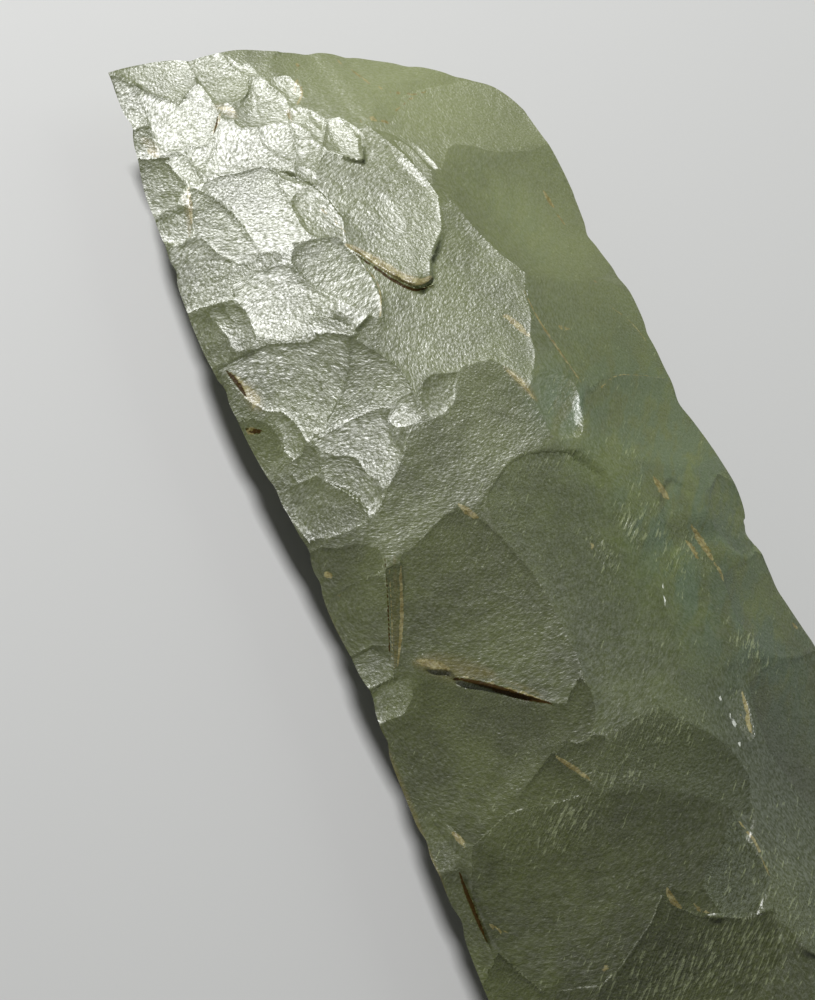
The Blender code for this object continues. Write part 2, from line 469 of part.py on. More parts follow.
class Face:
    """One face of the blade: the blank's height, and the scars cut into it one by one."""

    def __init__(self, blank, up, seed):
        self.blank = blank
        self.up = up
        self.seed = seed
        self.cuts = []
        self.ledges = []

    def warp(self, x, y):
        """Shifts the plan a little, so that no ridge between scars runs true."""
        wx, wy = x + 0.0, y + 0.0
        for size, reach in WARPS:
            wx += reach * wobble(x, y, size, self.seed + 1)
            wy += reach * wobble(x, y, size, self.seed + 2)
        return wx, wy

    def cut(self, scar):
        """Adds a scar. Its film is part flat and part true to the blank's own curve."""
        work = FacetCut(scar) if isinstance(scar, Facet) else Cut(scar, self.seed + len(self.cuts))
        a, b, x, y = work.ring()
        rim, blank = self.raw(x, y), self.blank(x, y)
        shapes = film(a, b)
        flat = np.linalg.lstsq(shapes, rim, rcond=None)[0]
        above = np.linalg.lstsq(shapes, rim - blank, rcond=None)[0]
        share = work.scar.flat
        work.weights = share * flat + (1 - share) * above
        self.cuts.append(work)

    def raw(self, x, y):
        """The face's height before ledges."""
        blank = self.blank(x, y)
        wx, wy = self.warp(x, y)
        z = blank.copy()
        for work in self.cuts:
            scar = work.scar
            near = np.hypot(x - scar.x, y - scar.y) < work.reach
            if not near.any():
                continue
            a, b = work.place(x[near], y[near])
            inset = np.clip(work.inset(x[near], y[near], wx[near], wy[near]), 0, 1)
            old = z[near]
            floor = film(a, b) @ work.weights + (1 - scar.flat) * blank[near]
            floor = floor - self.up * work.drop(a, b)
            cut = np.maximum(self.up * (old - floor), 0) * (1 - (1 - inset) ** 2)
            z[near] = old - self.up * cut
        return z

    def height(self, x, y):
        z = self.raw(x, y)
        for ledge in self.ledges:
            z = z - self.up * ledge_drop(ledge, x, y)
        return z


def smooth_line(line):
    """A bent line's points, with more between them on a smooth curve."""
    line = np.array(line, float)
    run = np.concatenate([[0], np.cumsum(np.hypot(*np.diff(line, axis=0).T))])
    at = np.linspace(0, run[-1], LEDGE_POINTS * len(line))
    return np.stack([flow(at, np.stack([run, axis], -1)) for axis in line.T], -1)


def ledge_drop(ledge, x, y):
    """How far the low side of a ledge lies under the face it broke from."""
    line = smooth_line(ledge.line)
    lengths = np.hypot(*np.diff(line, axis=0).T)
    run = np.concatenate([[0], np.cumsum(lengths)])
    ways = np.gradient(line, axis=0)
    gap = np.full(x.shape, 1e9)
    low, share, total = 0.0, 0.0, 0.0
    for k in range(len(line) - 1):
        (x0, y0), (x1, y1) = line[k], line[k + 1]
        ux, uy = (x1 - x0) / lengths[k], (y1 - y0) / lengths[k]
        t = np.clip((x - x0) * ux + (y - y0) * uy, 0, lengths[k])
        dx, dy = x - x0 - t * ux, y - y0 - t * uy
        off = np.hypot(dx, dy)
        gap = np.minimum(gap, off)
        way = ways[k] + (t / lengths[k])[..., None] * (ways[k + 1] - ways[k])
        weight = 1 / (off ** 2 + LEDGE_BLEND ** 2) ** 2
        low = low + weight * (way[..., 0] * dy - way[..., 1] * dx)
        share = share + weight * (run[k] + t) / run[-1]
        total = total + weight
    share = share / total
    fade = ease(share / LEDGE_FADE) * ease((1 - share) / LEDGE_FADE)
    signed = np.where(low < 0, gap, -gap)
    wall = ease(signed / ledge.wide + 0.5)
    rise = 1 - ease(signed / ledge.reach)
    foot = np.exp(-((signed - CRACK_WIDTH / 2) / (CRACK_WIDTH / 2)) ** 2)
    return fade * (ledge.high * wall * rise + ledge.crack * foot)


def under_scars():
    """Two rows of flakes from the sides and a few from the ends, plainer than above."""
    rng = np.random.default_rng(11)
    scars = []
    for turn, edge, start in ((0, -31, -84), (180, 31, -78)):
        y = start
        while y < 92:
            wide = rng.uniform(17, 25)
            long = rng.uniform(20, 25)
            lean = math.copysign(long / 2 - 3.0, -edge)
            scars.append(Scar(edge + lean, y, turn + rng.uniform(-14, 14), long, wide,
                              rng.uniform(0.5, 0.9)))
            y += wide * 0.62
    rng.shuffle(scars)
    scars = [Scar(*s) for s in scars]
    scars += [Scar(-12, 88, 268, 24, 20, 0.5), Scar(8, 82, 262, 22, 20, 0.5),
              Scar(24, 70, 240, 16, 16, 0.5), Scar(0, -90, 90, 20, 24, 0.6)]
    for edge, turn in ((-30, 0), (30, 180)):
        y = -80.0
        while y < 84:
            wide = rng.uniform(5, 9)
            scars.append(Scar(edge, y, turn, rng.uniform(6, 9), wide, rng.uniform(0.3, 0.5)))
            y += wide * rng.uniform(1.0, 1.5)
    return scars


def worked_face(blank, up, seed, scars, ledges):
    face = Face(blank, up, seed)
    for scar in scars:
        face.cut(scar)
    face.ledges = ledges
    return face


def edge_line(upper, x, y):
    """The sharp edge's height beside a plan point: where the upper face meets the outline."""
    rims = [(traced(lambda at: upper.height(left_side(at), at), PLAN_LENGTH), y),
            (traced(lambda at: upper.height(right_side(at), at), PLAN_LENGTH), y),
            (traced(lambda at: upper.height(at, poll_edge(at)), PLAN_WIDTH), x),
            (traced(lambda at: upper.height(at, bit_edge(at)), PLAN_WIDTH), x)]
    total, weight = 0.0, 0.0
    for gap, (rim, at) in zip(margins(x, y), rims):
        w = 1 / (np.maximum(gap, 0) ** 2 + 1e-9)
        total = total + w * np.clip(rim(at), PLAN_EDGE - EDGE_DIP, PLAN_EDGE + EDGE_RISE)
        weight = weight + w
    return total / weight


def surfaces(upper, under, x, y, at_edge):
    """The two faces' plan heights, meeting in the edge line."""
    inside = np.maximum(np.minimum.reduce(margins(x, y)), 0)
    edge = edge_line(upper, x, y)
    top = upper.height(x, y)
    near_edge = np.exp(-(inside / EDGE_SPREAD) ** 2)
    low = under.blank(x, y) + (under.height(x, y) - under.blank(x, y)) * ease(inside / EDGE_CALM)
    low = low + (edge - PLAN_EDGE) * near_edge
    top = np.maximum(top, edge + EDGE_SLOPE * inside)
    low = np.minimum(low, edge - EDGE_SLOPE * inside)
    return np.where(at_edge, edge, top), np.where(at_edge, edge, low)


def lay_sheet(verts, upper, under, which):
    """Lays a flat grid's vertices on the upper (0) or the under (1) surface, in metres."""
    s = np.array([v.co.x for v in verts]) + 0.5
    t = np.array([v.co.y for v in verts]) + 0.5
    x, y = plan_point(s, t)
    at_edge = np.minimum.reduce([s, 1 - s, t, 1 - t]) < 1e-6
    z = surfaces(upper, under, x, y, at_edge)[which]
    x, y = (x - PLAN_MIDDLE) * WIDTH / PLAN_WIDTH, y * LENGTH / PLAN_LENGTH
    z = z * THICKNESS / PLAN_THICKNESS
    for vert, place in zip(verts, np.stack([x, y, z], -1)):
        vert.co = place


def blade_mesh(rows, columns):
    """The closed blade: an upper and an under sheet, welded along the sharp edge."""
    upper = worked_face(upper_blank, 1, 40, UPPER_SCARS + UPPER_FACETS, UPPER_LEDGES)
    under = worked_face(under_blank, -1, 240, under_scars(), [])
    bm = bmesh.new()
    for which in (0, 1):
        grid = bmesh.ops.create_grid(bm, x_segments=columns, y_segments=rows, size=0.5)
        lay_sheet(grid["verts"], upper, under, which)
        if which == 1:
            faces = {face for vert in grid["verts"] for face in vert.link_faces}
            bmesh.ops.reverse_faces(bm, faces=list(faces))
    rim = [vert for vert in bm.verts if vert.is_boundary]
    bmesh.ops.remove_doubles(bm, verts=rim, dist=1e-7)
    mesh = bpy.data.meshes.new("celt")
    bm.to_mesh(mesh)
    bm.free()
    return mesh


def clear_scene():
    for item in list(bpy.data.objects):
        bpy.data.objects.remove(item)


def simplified(item, triangles):
    """The object's mesh, reduced to about that many triangles where it is flattest."""
    thin = item.modifiers.new("Fewer faces", "DECIMATE")
    thin.use_collapse_triangulate = True
    thin.ratio = triangles / (2 * len(item.data.polygons))
    graph = bpy.context.evaluated_depsgraph_get()
    mesh = bpy.data.meshes.new_from_object(item.evaluated_get(graph))
    item.modifiers.clear()
    return mesh


def cut_resting_flat(mesh):
    """Takes the belly off level at Z = 0, where the celt rests."""
    bm = bmesh.new()
    bm.from_mesh(mesh)
    everything = bm.verts[:] + bm.edges[:] + bm.faces[:]
    cut = bmesh.ops.bisect_plane(bm, geom=everything, dist=1e-7, plane_co=(0, 0, 0),
                                 plane_no=(0, 0, 1), clear_inner=True)
    rim = [e for e in cut["geom_cut"] if isinstance(e, bmesh.types.BMEdge)]
    bmesh.ops.holes_fill(bm, edges=rim, sides=0)
    bm.to_mesh(mesh)
    bm.free()


def jasper():
    material = bpy.data.materials.new("green_jasper")
    material.use_nodes = True
    shader = material.node_tree.nodes["Principled BSDF"]
    shader.inputs["Base Color"].default_value = (0.115, 0.135, 0.07, 1)
    shader.inputs["Roughness"].default_value = 0.42
    shader.inputs["Metallic"].default_value = 0.0
    return material


def main():
    clear_scene()
    parts = bpy.data.collections.new("jasper_celt")
    bpy.context.scene.collection.children.link(parts)
    celt = bpy.data.objects.new("celt", blade_mesh(ROWS, COLUMNS))
    parts.objects.link(celt)
    celt.data = simplified(celt, TRIANGLES)
    cut_resting_flat(celt.data)
    celt.data.materials.append(jasper())
    return celt


main()
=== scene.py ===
"""Looks of the jasper celt: its stone surface in fine relief, its colours, the light and the view.

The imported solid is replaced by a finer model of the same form, worked out by the same carving.
+Y points to the skewed bit, +X to the right-hand side seen from above and +Z up.
"""
import math
from collections import namedtuple

import bmesh
import bpy
import numpy as np
from mathutils import Matrix, Vector


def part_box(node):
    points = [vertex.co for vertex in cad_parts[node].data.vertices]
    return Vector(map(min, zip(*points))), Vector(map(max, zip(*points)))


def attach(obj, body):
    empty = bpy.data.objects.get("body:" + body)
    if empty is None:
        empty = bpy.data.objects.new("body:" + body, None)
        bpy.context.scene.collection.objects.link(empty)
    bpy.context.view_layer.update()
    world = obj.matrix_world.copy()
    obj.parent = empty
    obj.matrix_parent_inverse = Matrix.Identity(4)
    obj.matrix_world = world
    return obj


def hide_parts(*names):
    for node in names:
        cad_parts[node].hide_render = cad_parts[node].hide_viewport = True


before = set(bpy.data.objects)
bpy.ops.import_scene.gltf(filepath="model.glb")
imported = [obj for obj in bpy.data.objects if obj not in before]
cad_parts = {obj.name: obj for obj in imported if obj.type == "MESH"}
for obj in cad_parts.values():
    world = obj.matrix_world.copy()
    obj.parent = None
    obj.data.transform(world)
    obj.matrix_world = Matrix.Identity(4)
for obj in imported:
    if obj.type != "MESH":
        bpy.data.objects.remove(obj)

# Real sizes in metres
LENGTH = 0.2000
WIDTH = 0.0673
THICKNESS = 0.0232
EDGE_HEIGHT = 0.0106      # the sharp edge above the resting face

# The plan that the carving is drawn on, in millimetres
PLAN_LENGTH = 200.0
PLAN_WIDTH = 67.3
PLAN_MIDDLE = -0.17       # the plan x that lies over the origin
PLAN_THICKNESS = 23.2
PLAN_EDGE = PLAN_THICKNESS * EDGE_HEIGHT / THICKNESS
BIT_BEVEL = 52.0          # how far from the bit the blade starts to thin
POLL_BEVEL = 30.0
BELLY = 0.8               # how far the blank's belly reaches below the resting flat
UPPER_BOW = 0.08          # how much of its height each face loses towards the ends
UNDER_BOW = 0.25
EDGE_SLOPE = 0.12         # least rise of either face away from the edge
EDGE_DIP = 1.6            # how far the sharp edge may wander down and up
EDGE_RISE = 1.2
EDGE_SPREAD = 5.0         # how far in from the sharp edge its wander still shifts the underside
EDGE_CALM = 2.5           # how far in from the sharp edge the underside's scars are still shallow
PLAN_PASSES = 24          # passes that settle a plan point between the four edges
TRACE_STEPS = 6001        # places at which an edge is worked out once and for all
# How far apart and how large the plan's wobbles are
WARPS = ((12.0, 0.8), (5.0, 0.5), (1.7, 0.2))

# The sides: plan y, plan x. The ends: plan x, plan y. Both run past the corners.
LEFT_SIDE = [
    (-104, -15), (-97, -20), (-88, -26.5), (-76, -31), (-60, -33.4), (-44, -33.7), (-33, -33.0),
    (-20, -32.7), (-9, -32.0), (-2, -31.2), (12, -31.4), (20, -30.7), (33, -31.3), (44, -31.9), (58, -32.0),
    (70, -30.8), (80, -29.8), (88, -28.2), (93, -27.7), (104, -27.5),
]
RIGHT_SIDE = [
    (-104, 13), (-97, 18.5), (-88, 25), (-76, 29.6), (-60, 32), (-40, 33), (-14, 32.7), (-7, 32.1),
    (0, 32.3), (6, 33.3), (17, 33.0), (25, 31.9), (34, 32.4), (41, 32.7), (53, 31.4), (61, 32.0),
    (70, 32.0), (77, 31.4), (84, 30.6), (104, 30),
]
BIT_EDGE = [
    (-34, 99.6), (-27.5, 99.9), (-20, 100.0), (-14, 99.0), (-7, 98.5), (-1, 96.0), (4, 94.7), (12, 90.9),
    (20, 87.0), (25, 83.6), (29, 80.6), (31.4, 76.6), (34, 70),
]
POLL_EDGE = [
    (-30, -90), (-20, -95.6), (-12, -98.8), (-2, -100), (8, -99.4), (17, -96), (28, -88),
]

# Small bites in the outline: plan x, plan y, width along the edge, depth
BITES = [
    (31.4, 2.6, 4.4, 1.7), (31.2, 24.0, 3.6, 0.7), (31.2, 53.6, 3.0, 0.6), (32.5, -7.0, 3.5, 0.3),
    (32.2, 36.0, 2.4, 0.3), (31.8, 45.5, 2.6, 0.3), (-31.0, 66.5, 2.6, 0.4), (-28.0, 91.0, 3.4, 0.5),
    (-32.0, 47.0, 3.0, 0.4), (-31.3, 31.0, 3.5, 0.3), (-30.5, 21.0, 3.0, 0.35), (-31.3, 16.0, 2.5, 0.3),
    (-31.0, -1.5, 4.0, 0.4), (-32.5, -8.0, 2.6, 0.5), (-32.4, -22.5, 3.2, 0.4), (-33.0, -34.0, 3.4, 0.45),
    (-15.0, 99.4, 2.4, 0.5), (2.5, 95.0, 3.0, 0.5), (8.0, 92.6, 2.6, 0.4), (16.5, 88.6, 3.0, 0.4),
    (23.0, 85.0, 2.6, 0.3), (-33.4, -58.0, 4.0, 0.6), (-31.0, -77.0, 4.0, 0.6), (-24.0, -91.0, 4.0, 0.5),
    (32.6, -30.0, 4.0, 0.6), (32.4, -52.0, 4.5, 0.7), (29.5, -76.0, 4.0, 0.6), (20.0, -94.0, 4.0, 0.5),
    (-6.0, -100.0, 4.5, 0.5), (9.0, -99.4, 4.0, 0.4),
]

# A flake scar: its middle on the plan, the way the flake ran (0 is +X, 90 is +Y), its length
# and width, how far it dips under a film stretched over its rim, how flat that film is (0
# keeps the blank's own curve), how far its far end drops, how much wider its far end is, the
# height and pitch of its ripples, and how softly it meets its rim
Scar = namedtuple("Scar", "x y turn long wide deep flat lean flare ripple pitch soft",
                  defaults=(0.4, 0.0, 0.0, 0.0, 2.0, 0.12))
RIM_LOBES = 0.055         # how uneven a rim is
RIM_SQUARE = 0.12         # how far a scar's ellipse is squared
SQUARE_RIM = 0.97         # keeps a squared rim within its length and width
RIM_POINTS = 48           # places round a scar's rim that carry its film
CORNER_POINTS = 6         # the same on each side of a drawn rim
FILM_WAVES = 4            # most waves round the rim that a film follows
HEEL = 0.3                # how much deeper a scar is near its start than near its end

# The upper face, oldest scar first
UPPER_SCARS = [
    # broad first flakes, poll to bit
    Scar(-16, -74, 10, 40, 40, 0.5),
    Scar(17, -74, 172, 36, 40, 0.5),
    Scar(0, -90, 90, 26, 30, 0.4),
    Scar(-14, 84, 280, 36, 36, 0.3, 0.7),
    Scar(21, -34, 180, 36, 34, 0.4),
    Scar(13, 4, 190, 36, 38, 0.15, 0.25, 0, 0, 0.03, 3.0),
    Scar(3, 88, 265, 22, 18, 0.2, 0.3),
    Scar(18, 92, 250, 22, 34, 0.15, 0.3),
    Scar(18, 72, 196, 34, 27, 0.25, 0.3),
    Scar(22, 56, 176, 26, 33, 0.3, 0.3, 0, 0, 0.06, 3.4),
    Scar(23, 36, 182, 23, 20, 0.3, 0.3),
    Scar(21.5, 17, 180, 27, 25, 0.3, 0.3),
    Scar(29.5, 4, 186, 11, 12, 0.4, 0.5),
    Scar(28, -9.5, 178, 15, 16, 0.25, 0.4),
    # the middle and the left, bit end
    Scar(-15, 62, 0, 30, 34, 0.3, 0.6),
    Scar(-2, 36, 10, 34, 34, 0.2, 0.3),
    Scar(-19, 54, 0, 18, 18, 0.2, 0.5),
    # the lower middle
    Scar(0, 4, 10, 32, 33, 0.35, 0.4, 0, 0, 0.03, 3.0),
    Scar(-14, 2, 8, 29, 31, 0.3, 0.5),
    Scar(8, 24.6, 250, 10, 7, 0.6, 0.8),
    Scar(-17, -5.5, 4, 23, 29, 0.25, 0.5),
    Scar(-13, -38.5, 4, 42, 27, 0.3, 0.35),
    Scar(-22, -13, 12, 26, 26, 0.3, 0.6),
    Scar(-9.6, -16, 285, 8, 6, 0.15, 0.8),
    Scar(-15.4, -22.8, 300, 8, 5, 0.25, 0.8),
    Scar(-12, -60, 8, 40, 24, 0.5),
    Scar(0, -44.6, 80, 13, 9.5, 0.3, 0.5),
    # short flakes that trimmed the left edge, bit to poll
    Scar(-26.8, 94.6, 0, 4, 8, 0.4, 0.9),
    Scar(-27, 87.4, 0, 6.5, 6, 0.3, 0.9),
    Scar(-27, 81, 0, 8, 8.5, 0.4, 0.9),
    Scar(-28.4, 73, 0, 6, 7, 0.4, 0.9),
    Scar(-27.4, 55, 0, 6, 7.5, 0.25, 0.9),
    Scar(-30, 57.4, 0, 5.5, 8.5, 0.4, 0.9),
    Scar(-30.2, 45, 0, 4, 8, 0.4, 0.9),
    Scar(-27.4, 37.2, 0, 8, 7.5, 0.4, 0.9),
    Scar(-28.6, 30, 0, 6.5, 8, 0.4, 0.9),
    Scar(-27, 16.4, 0, 10, 8.4, 0.6, 0.9),
    Scar(-28.6, 9, 0, 7, 7.4, 0.5, 0.9),
    Scar(-29.6, 2.8, 0, 5, 5.2, 0.4, 0.9),
    Scar(-29.4, -3, 0, 6.4, 6, 0.4, 0.9),
    Scar(-31.6, -24, 0, 4.4, 7, 0.4, 0.9),
    Scar(-31.8, -33, 0, 4.2, 11, 0.6, 0.9),
    Scar(-31.8, -44, 0, 5.6, 8, 0.5, 0.9),
]

# Facets with a drawn rim: the rim's points, the way the facet leans down, how far it drops
# on that way, how far it dips, how wide the break at its rim is, and how hollow it looks
Facet = namedtuple("Facet", "rim turn lean deep wall hollow", defaults=(0.1, 0.35, 0.06))
FACET_WARP = 0.25         # the share of the plan's warp that a drawn rim takes
FACET_STEP = 0.06         # the share of a facet's drop that shows as a step at its rim
FACET_BREAK = 2.2         # how much wider that step is than the plain break
UPPER_FACETS = [
    # the skewed bit's left corner
    Facet([(-26.8, 100), (-24.8, 97.2), (-23, 95), (-21.2, 93), (-19.6, 92.8), (-17.5, 93.6), (-16, 94.8),
        (-15.4, 96.5), (-15.2, 99.8), (-20, 101)], 140, 0.95, 0.35),
    Facet([(-27.6, 99.6), (-26, 98), (-24.9, 96.4), (-24.6, 94), (-25, 91.5), (-26, 90.2), (-29, 90.3),
        (-28.6, 95)], 135, 0.75, 0.2),
    Facet([(-25.2, 97), (-22, 93.6), (-20, 91.6), (-18, 93.2), (-16.6, 94.2), (-15.6, 94.4), (-15.2, 92),
        (-15.1, 90), (-15.2, 87.8), (-16.2, 86.2), (-17.3, 84.6), (-18.5, 83.6), (-20, 83.2), (-21.5, 84.3),
        (-23, 84.3), (-25, 84.8), (-25.6, 87), (-25.3, 90), (-25.2, 93)], 140, 0.7, 0.3),
    Facet([(-15.5, 99.4), (-15.5, 94.6), (-15.2, 92), (-15.1, 89.8), (-14, 89.4), (-11, 88.9), (-9, 90.5),
        (-8.5, 92), (-8.4, 93.6), (-9.7, 95.2), (-9.8, 98.8)], 140, 0.93, 0.35),
    Facet([(-8.6, 92.4), (-7.4, 92.8), (-6.6, 92.2), (-6.2, 90.4), (-5.4, 88.6), (-5, 86.6), (-5.4, 85),
        (-6.2, 83.6), (-7, 82), (-8, 82.6), (-9.6, 83), (-11, 82.9), (-12.2, 83.5), (-13.4, 84),
        (-13.8, 85.4), (-13.2, 86.6), (-12.6, 88.8), (-11.4, 88.8), (-10, 89.6), (-9, 90.8)], 242, 0.33,
        0.55),
    # the bright step below it
    Facet([(-15.3, 86.9), (-16.5, 85.5), (-17.6, 84.4), (-18.4, 82.4), (-19.2, 81.2), (-20.6, 80.2),
        (-21.9, 79.2), (-21.6, 78.2), (-19.5, 77.6), (-17.5, 77), (-15.5, 76.7), (-14, 76.5), (-13.2, 76.5),
        (-12.6, 75.2), (-11, 74.5), (-10, 74.6), (-9.2, 75.6), (-8.2, 77), (-7.5, 78.4), (-7.3, 80),
        (-7, 81.6), (-8, 82.6), (-9.6, 83), (-11, 82.9), (-12.2, 83.5), (-13.4, 84), (-13.9, 85.4),
        (-15, 86.4)], 160, 0.6, 0.12),
    Facet([(-24.4, 77.6), (-23.2, 76.4), (-22, 74.2), (-21, 71.6), (-20.4, 69), (-20.1, 66), (-20, 63.4),
        (-21.6, 62.4), (-23, 63), (-25, 65.6), (-25.8, 68), (-26.8, 70.4), (-26, 73), (-25.4, 75.6)], 245,
        0.25, 0.25),
    Facet([(-23.2, 76.6), (-21.8, 78), (-19.5, 77.5), (-17.5, 76.9), (-15.5, 76.6), (-14, 76.4),
        (-13.2, 76.2), (-12.4, 74.6), (-12.9, 72.4), (-12.6, 70.4), (-13, 68), (-13.6, 64), (-14, 62.4),
        (-17, 62.4), (-20, 63.4), (-20.1, 66), (-20.4, 69), (-21, 71.6), (-22, 74.2)], 238, 0.16, 0.2),
    # the leaf-shaped scar with the brown ledge at its foot, and its neighbours
    Facet([(-5, 75.2), (-7, 73.4), (-7.8, 72.2), (-8.8, 70.4), (-8.4, 68), (-8, 65.5), (-7.9, 63),
        (-8.7, 61), (-9.2, 59), (-8.2, 57), (-7, 54.8), (-5.8, 52.6), (-4.6, 50.8), (-3.4, 49.6),
        (-2.2, 50), (-1, 51), (0.2, 52.2), (1.2, 53.6), (2.6, 55), (3.8, 56), (4.6, 57.6), (5.2, 59),
        (6.2, 61), (6.6, 62.6), (6.6, 65), (6.2, 68), (5.6, 71), (4.4, 74), (3.2, 77), (1.6, 77.6),
        (0.8, 75), (-0.8, 71.6), (-3, 73)], 110, 0.2, 0.3, 0.5),
    Facet([(-13, 69), (-11.5, 70.4), (-10, 70.8), (-9, 70), (-8.4, 67.5), (-8, 65), (-8, 63), (-8.7, 61.5),
        (-9.4, 60), (-9.8, 59.2), (-10, 60.8), (-11.4, 61.6), (-12.8, 62.4), (-13.4, 65)], 25, 0.75, 0.15),
    Facet([(-1.6, 80.8), (0.3, 80.6), (1.2, 78.6), (1.7, 77), (1.2, 75.4), (0.2, 73.4), (-0.4, 72),
        (-1, 71.2), (-2, 72), (-3, 73), (-4, 74.6), (-4.8, 76.2), (-3.8, 77.6), (-2.6, 79.2)], 190, 0.9,
        0.5, 0.3),
    # the right-hand side, bit to poll
    Facet([(2, 78), (4.5, 77.8), (7.2, 77.2), (10.4, 79.8), (12, 82), (15, 83), (19, 83.2), (24, 83.6),
        (29, 81), (33, 77), (33, 70), (28, 69), (22, 69.4), (18, 71), (15.5, 71.6), (13.4, 70.6),
        (11.6, 68.4), (9.9, 67), (8.8, 70), (6.5, 74.4), (3.4, 77)], 170, 0.7, 0.3, 1.2),
    Facet([(9.6, 66), (11.8, 68.4), (13.6, 70.4), (15.5, 71.4), (18, 71), (22, 69.4), (26, 67), (30, 64),
        (33.6, 61), (33.6, 50), (30, 46), (25, 44.6), (20, 44), (14, 46), (11.2, 50), (9.2, 56), (8.8, 61)],
        165, 0.5, 0.35, 1.2),
    Facet([(11, 40.6), (12.2, 37), (13, 34), (13.3, 30.4), (14.6, 27), (17, 28), (20, 28.6), (25, 28.2),
        (33.6, 27.6), (34, 42), (28, 45), (22, 44.6), (16, 46), (13.4, 46.4), (11.6, 43.6)], 160, 0.8, 0.3,
        1.0),
    Facet([(15, 26.4), (17, 27.8), (20, 28.4), (25, 28), (33.6, 27.4), (34, 15), (30, 13.6), (26, 12.4),
        (22, 13), (16.6, 15), (12, 18), (10.6, 21), (11.6, 24), (13, 26)], 160, 0.3, 0.35, 1.0),
    Facet([(5, 29.4), (6.4, 30.6), (9, 31.2), (11.6, 29.6), (12.2, 27.4), (11.4, 25), (10.6, 22.6),
        (9.4, 21), (8, 20.2), (5.5, 20.4), (4.8, 23), (4.6, 26)], 150, 0.7, 0.5, 0.5),
    Facet([(24.8, 4), (25.6, 6.4), (27, 8.6), (29, 10.2), (31, 11.6), (34, 9.6), (34, 4), (32, 0), (28, -2),
        (26, 0)], 350, 0.6, 0.35, 0.4),
    Facet([(21.4, -4), (24, -3), (28, -2.4), (31, -1), (34, -3), (34, -15), (31, -17), (28, -17.6),
        (24, -17.8), (21, -16), (19.6, -11)], 330, 0.3, 0.3, 0.5),
    # the middle plates above and below the cracked ledge
    Facet([(-23.6, 0.4), (-21.6, -2.6), (-21, -4.6), (-18, -7.4), (-15, -10.2), (-12.2, -13.2),
        (-10.4, -14.2), (-9.6, -13.4), (-7.8, -12), (-6.8, -11), (-6.2, -8), (-5.9, -4), (-5.8, 0),
        (-6.2, 4), (-7.5, 9), (-9.8, 13.6), (-12, 16.6), (-15.5, 15.6), (-18, 14.6), (-21, 13.8), (-22, 10),
        (-24, 5.6), (-26, 0.6)], 250, 0.6, 0.15, 0.5),
    Facet([(-6, 3), (-5.8, 0), (-5.9, -4), (-6.2, -8), (-6.8, -11), (-6.8, -14), (-7.6, -17), (-9.4, -19.4),
        (-6, -20), (-2, -19.6), (3, -18.6), (6, -17), (8, -12), (9, -6), (10.4, 0), (11, 6), (10.2, 11),
        (8.6, 15), (5.6, 18.4), (3, 19.2), (0, 19.8), (-3.4, 19.4), (-5.4, 18), (-7.6, 16.4), (-8.6, 12),
        (-7.2, 7)], 320, 0.3, 0.2, 0.8),
    Facet([(-24.6, -0.4), (-23.4, -2), (-21.6, -3.2), (-21.2, -4.8), (-18.4, -7.4), (-15.2, -10.4),
        (-12.2, -13.2), (-12.2, -16), (-12, -19), (-14.6, -19.8), (-17, -21.4), (-20, -22.8), (-23, -24.4),
        (-26, -25.4), (-28, -26), (-28.8, -25), (-29.4, -22.4), (-30.4, -20), (-32.6, -16), (-33, -10),
        (-32, -6), (-28, -4), (-26, -2)], 220, 0.9, 0.3, 1.3, 0.2),
    Facet([(-12.4, -26.6), (-10.8, -23), (-8, -20.8), (-3, -19.8), (1, -20), (3, -22), (5.6, -25), (8, -28),
        (9, -32), (6, -37.4), (4.4, -36), (0, -32), (-6, -29)], 270, 0.55, 0.1, 1.4),
    Facet([(-28.4, -26.2), (-26, -25.6), (-23, -24.6), (-19, -25), (-17, -26), (-12, -26.2), (-6, -28.6),
        (0, -31.6), (4.2, -35.6), (4, -36.4), (2, -37.4), (0.8, -39.4), (-0.5, -40.4), (-2.6, -41.2),
        (-4.6, -43.4), (-6, -44.6), (-9.2, -41.6), (-12.8, -44.8), (-16, -46.6), (-19, -48.6), (-22, -49.6),
        (-28, -47), (-30.4, -40), (-30.4, -32)], 275, 0.8, 0.1, 1.5),
    Facet([(-5.2, -45), (-4.6, -43.4), (-2.6, -41.2), (-0.5, -40.2), (1.4, -38.2), (2.6, -37), (4, -36.6),
        (3.8, -40), (4.8, -45.6), (3.4, -47.4), (1.6, -49), (-1, -49.4), (-4, -48.4)], 325, 1.4, 0.3, 0.9),
    # the broad middle facet beside it
    Facet([(-9.8, 45.6), (-9, 49), (-8.7, 53), (-8.6, 57), (-7, 54.6), (-5.6, 52), (-4, 49.6), (-2.6, 48.4),
        (-1, 49), (0.4, 52), (2.8, 54.8), (4.8, 57), (6.2, 60), (8, 62), (9.2, 56), (11, 50.4),
        (13.4, 46.6), (11.6, 43.4), (11, 40.4), (9.2, 37), (8.6, 34), (6.4, 31), (5, 29.6), (3.6, 33),
        (2, 35.2), (-2, 35.6), (-3.4, 35), (-5.2, 35.4), (-6.8, 36.2), (-8.6, 35.6), (-10.4, 34.4),
        (-10.6, 38.2), (-11.4, 40.2), (-12.6, 42)], 135, 0.68, 0.2, 0.7),
    # the round scar on the left, mid length
    Facet([(-31.4, 50.3), (-29, 50), (-25, 49.9), (-23.4, 49.3), (-21.5, 48.2), (-20, 47.2), (-18.6, 47.8),
        (-17, 47.2), (-15.4, 45.6), (-14.2, 44), (-12.8, 42), (-11.6, 40.2), (-10.8, 38.4), (-10.5, 36),
        (-10.6, 34), (-10.9, 32), (-11.6, 30.6), (-12.6, 30), (-14, 28.6), (-15.5, 26.6), (-17, 25),
